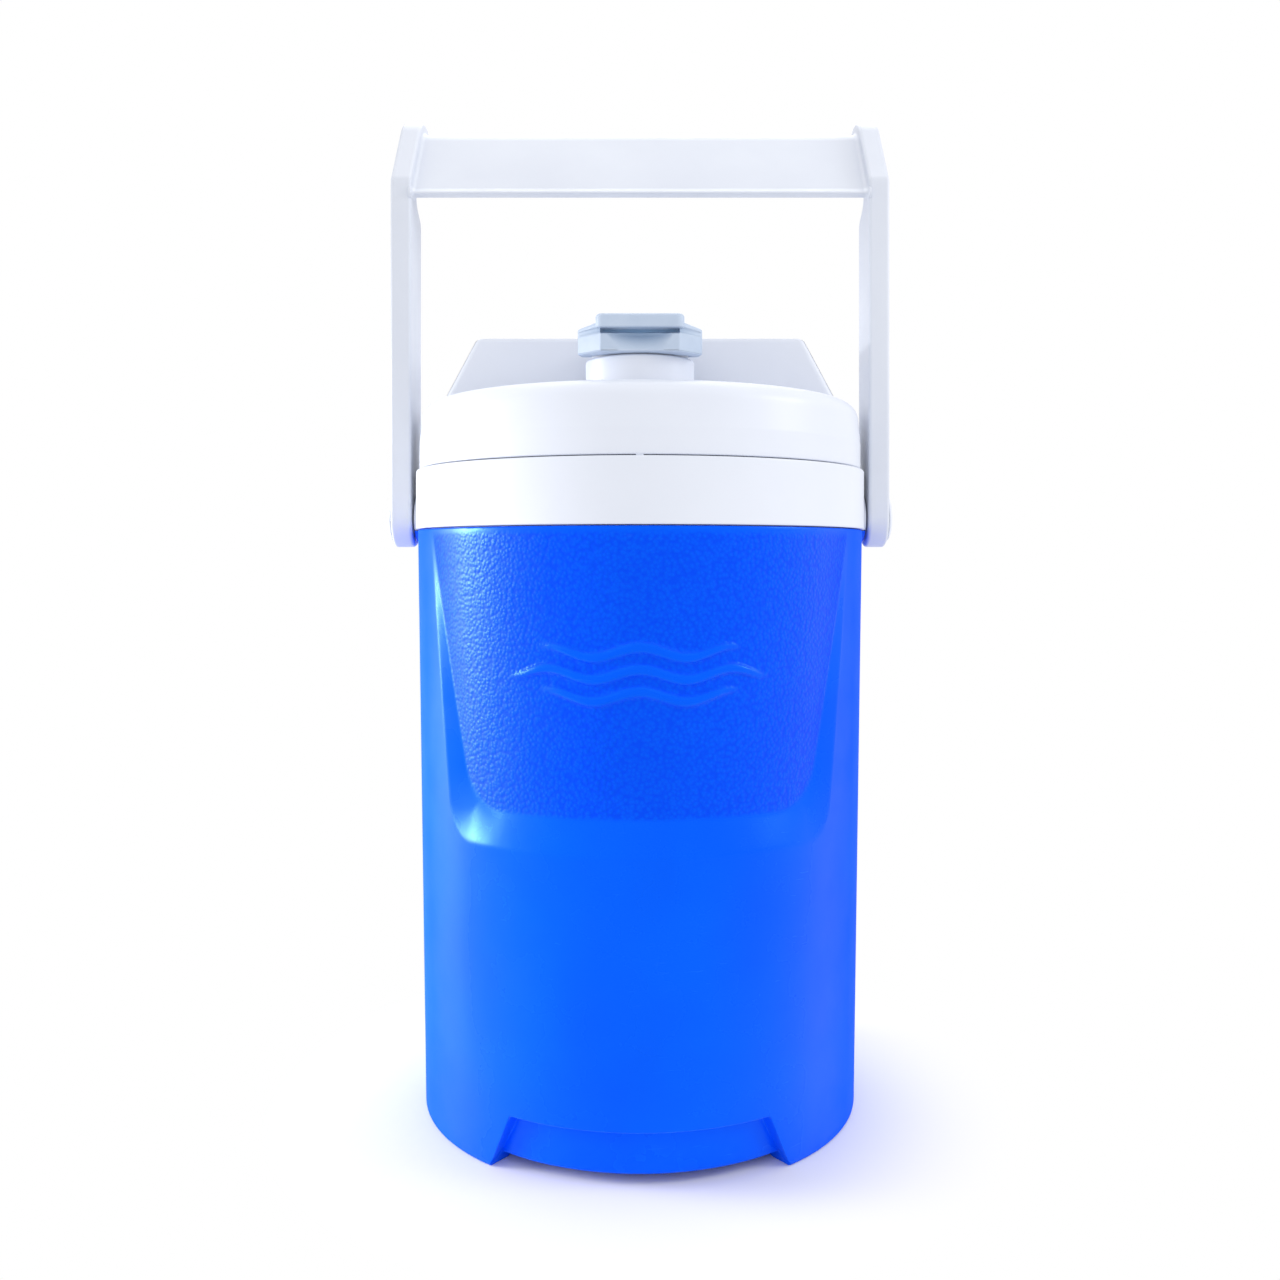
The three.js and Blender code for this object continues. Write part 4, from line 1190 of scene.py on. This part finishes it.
piece("hinge_pin", hinge_pin(), "lid", STEEL, ["cap_hinge_pin"])


# -------- CAD nodes that stay

HIDDEN = {
    "insulation_foam": (FOAM, "foam"),
    "lid_foam": (FOAM, "foam"),
    "lid_inner_plate": (LINER_WHITE, "liner_white"),
    "lid_gasket": (RUBBER, "seal_rubber"),
    "spout_channel_gasket": (RUBBER, "seal_rubber"),
}
for node, (look, slot) in HIDDEN.items():
    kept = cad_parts[node]
    kept.data.materials.clear()
    kept.data.materials.append(look)


# -------- studio

MIDDLE = (0, 0, 0.15)
DRUM_MIDDLE = (0, 0, 0.065)
FLOOR_FADE = (0.078, 0.125)  # metres from the jug's axis between the lit floor and plain white
CAMERA_PLACE = (0, -0.4193, 0.1803)  # level, fitted to the photo's round edges
CAMERA_LENS = 34.34
CAMERA_SHIFT = -0.0633


def floor():
    """A pale floor that fades into the white surroundings away from the jug."""
    mesh = bpy.data.meshes.new("floor")
    corner = 6.0
    square = [(-corner, -corner, 0), (corner, -corner, 0), (corner, corner, 0), (-corner, corner, 0)]
    mesh.from_pydata(square, [], [(0, 1, 2, 3)])
    made = bpy.data.objects.new("floor", mesh)
    bpy.context.scene.collection.objects.link(made)
    look = Look("floor", Base_Color=(0.86, 0.86, 0.86, 1), Roughness=0.9, Specular_IOR_Level=0.0)
    length = look.node("ShaderNodeVectorMath", {0: look.place}, operation="LENGTH").outputs["Value"]
    fade = look.ranged(length, *FLOOR_FADE, 0.0, 1.0, interpolation_type="SMOOTHSTEP")
    white = look.node("ShaderNodeEmission", {}).outputs["Emission"]
    mix = look.node("ShaderNodeMixShader", {"Fac": fade, 1: look.shader.outputs["BSDF"], 2: white})
    look.join(mix.outputs["Shader"], look.tree.nodes["Material Output"].inputs["Surface"])
    mesh.materials.append(look.material)


def area_light(name, place, target, size, power, spread=180):
    """A rectangular soft light; a smaller spread, in degrees, keeps it off what it isn't aimed at."""
    light = bpy.data.lights.new(name, "AREA")
    light.shape = "RECTANGLE"
    light.size, light.size_y = size
    light.energy = power
    light.spread = math.radians(spread)
    made = bpy.data.objects.new(name, light)
    made.location = place
    made.rotation_euler = (Vector(target) - Vector(place)).to_track_quat("-Z", "Y").to_euler()
    bpy.context.scene.collection.objects.link(made)


def around(azimuth, elevation, distance):
    """A point seen from the jug's middle: azimuth from -Y towards +X, elevation from level, in degrees."""
    turn, up = math.radians(azimuth), math.radians(elevation)
    level = distance * math.cos(up)
    return level * math.sin(turn), -level * math.cos(turn), MIDDLE[2] + distance * math.sin(up)


def studio():
    floor()
    world = bpy.data.worlds.new("white_surroundings")
    bpy.context.scene.world = world
    world.use_nodes = True
    background = world.node_tree.nodes["Background"]
    background.inputs["Color"].default_value = (1, 1, 1, 1)
    background.inputs["Strength"].default_value = 1.0
    area_light("key", around(-98, 3, 0.65), DRUM_MIDDLE, (0.55, 0.26), 0.78, 35)
    area_light("right", around(77, 27, 0.95), MIDDLE, (0.3, 0.26), 1.7)
    area_light("top", around(180, 62, 1.1), MIDDLE, (0.9, 0.9), 3.9)
    bpy.context.scene.view_settings.view_transform = "Standard"


def camera():
    """Level camera on the jug's own axis, raised or lowered by its lens shift only."""
    lens = bpy.data.cameras.new("camera")
    lens.lens = CAMERA_LENS
    lens.sensor_width = 36
    lens.shift_y = CAMERA_SHIFT
    made = bpy.data.objects.new("camera", lens)
    made.location = CAMERA_PLACE
    made.rotation_euler = (math.pi / 2, 0, 0)
    bpy.context.scene.collection.objects.link(made)
    bpy.context.scene.camera = made


studio()
camera()
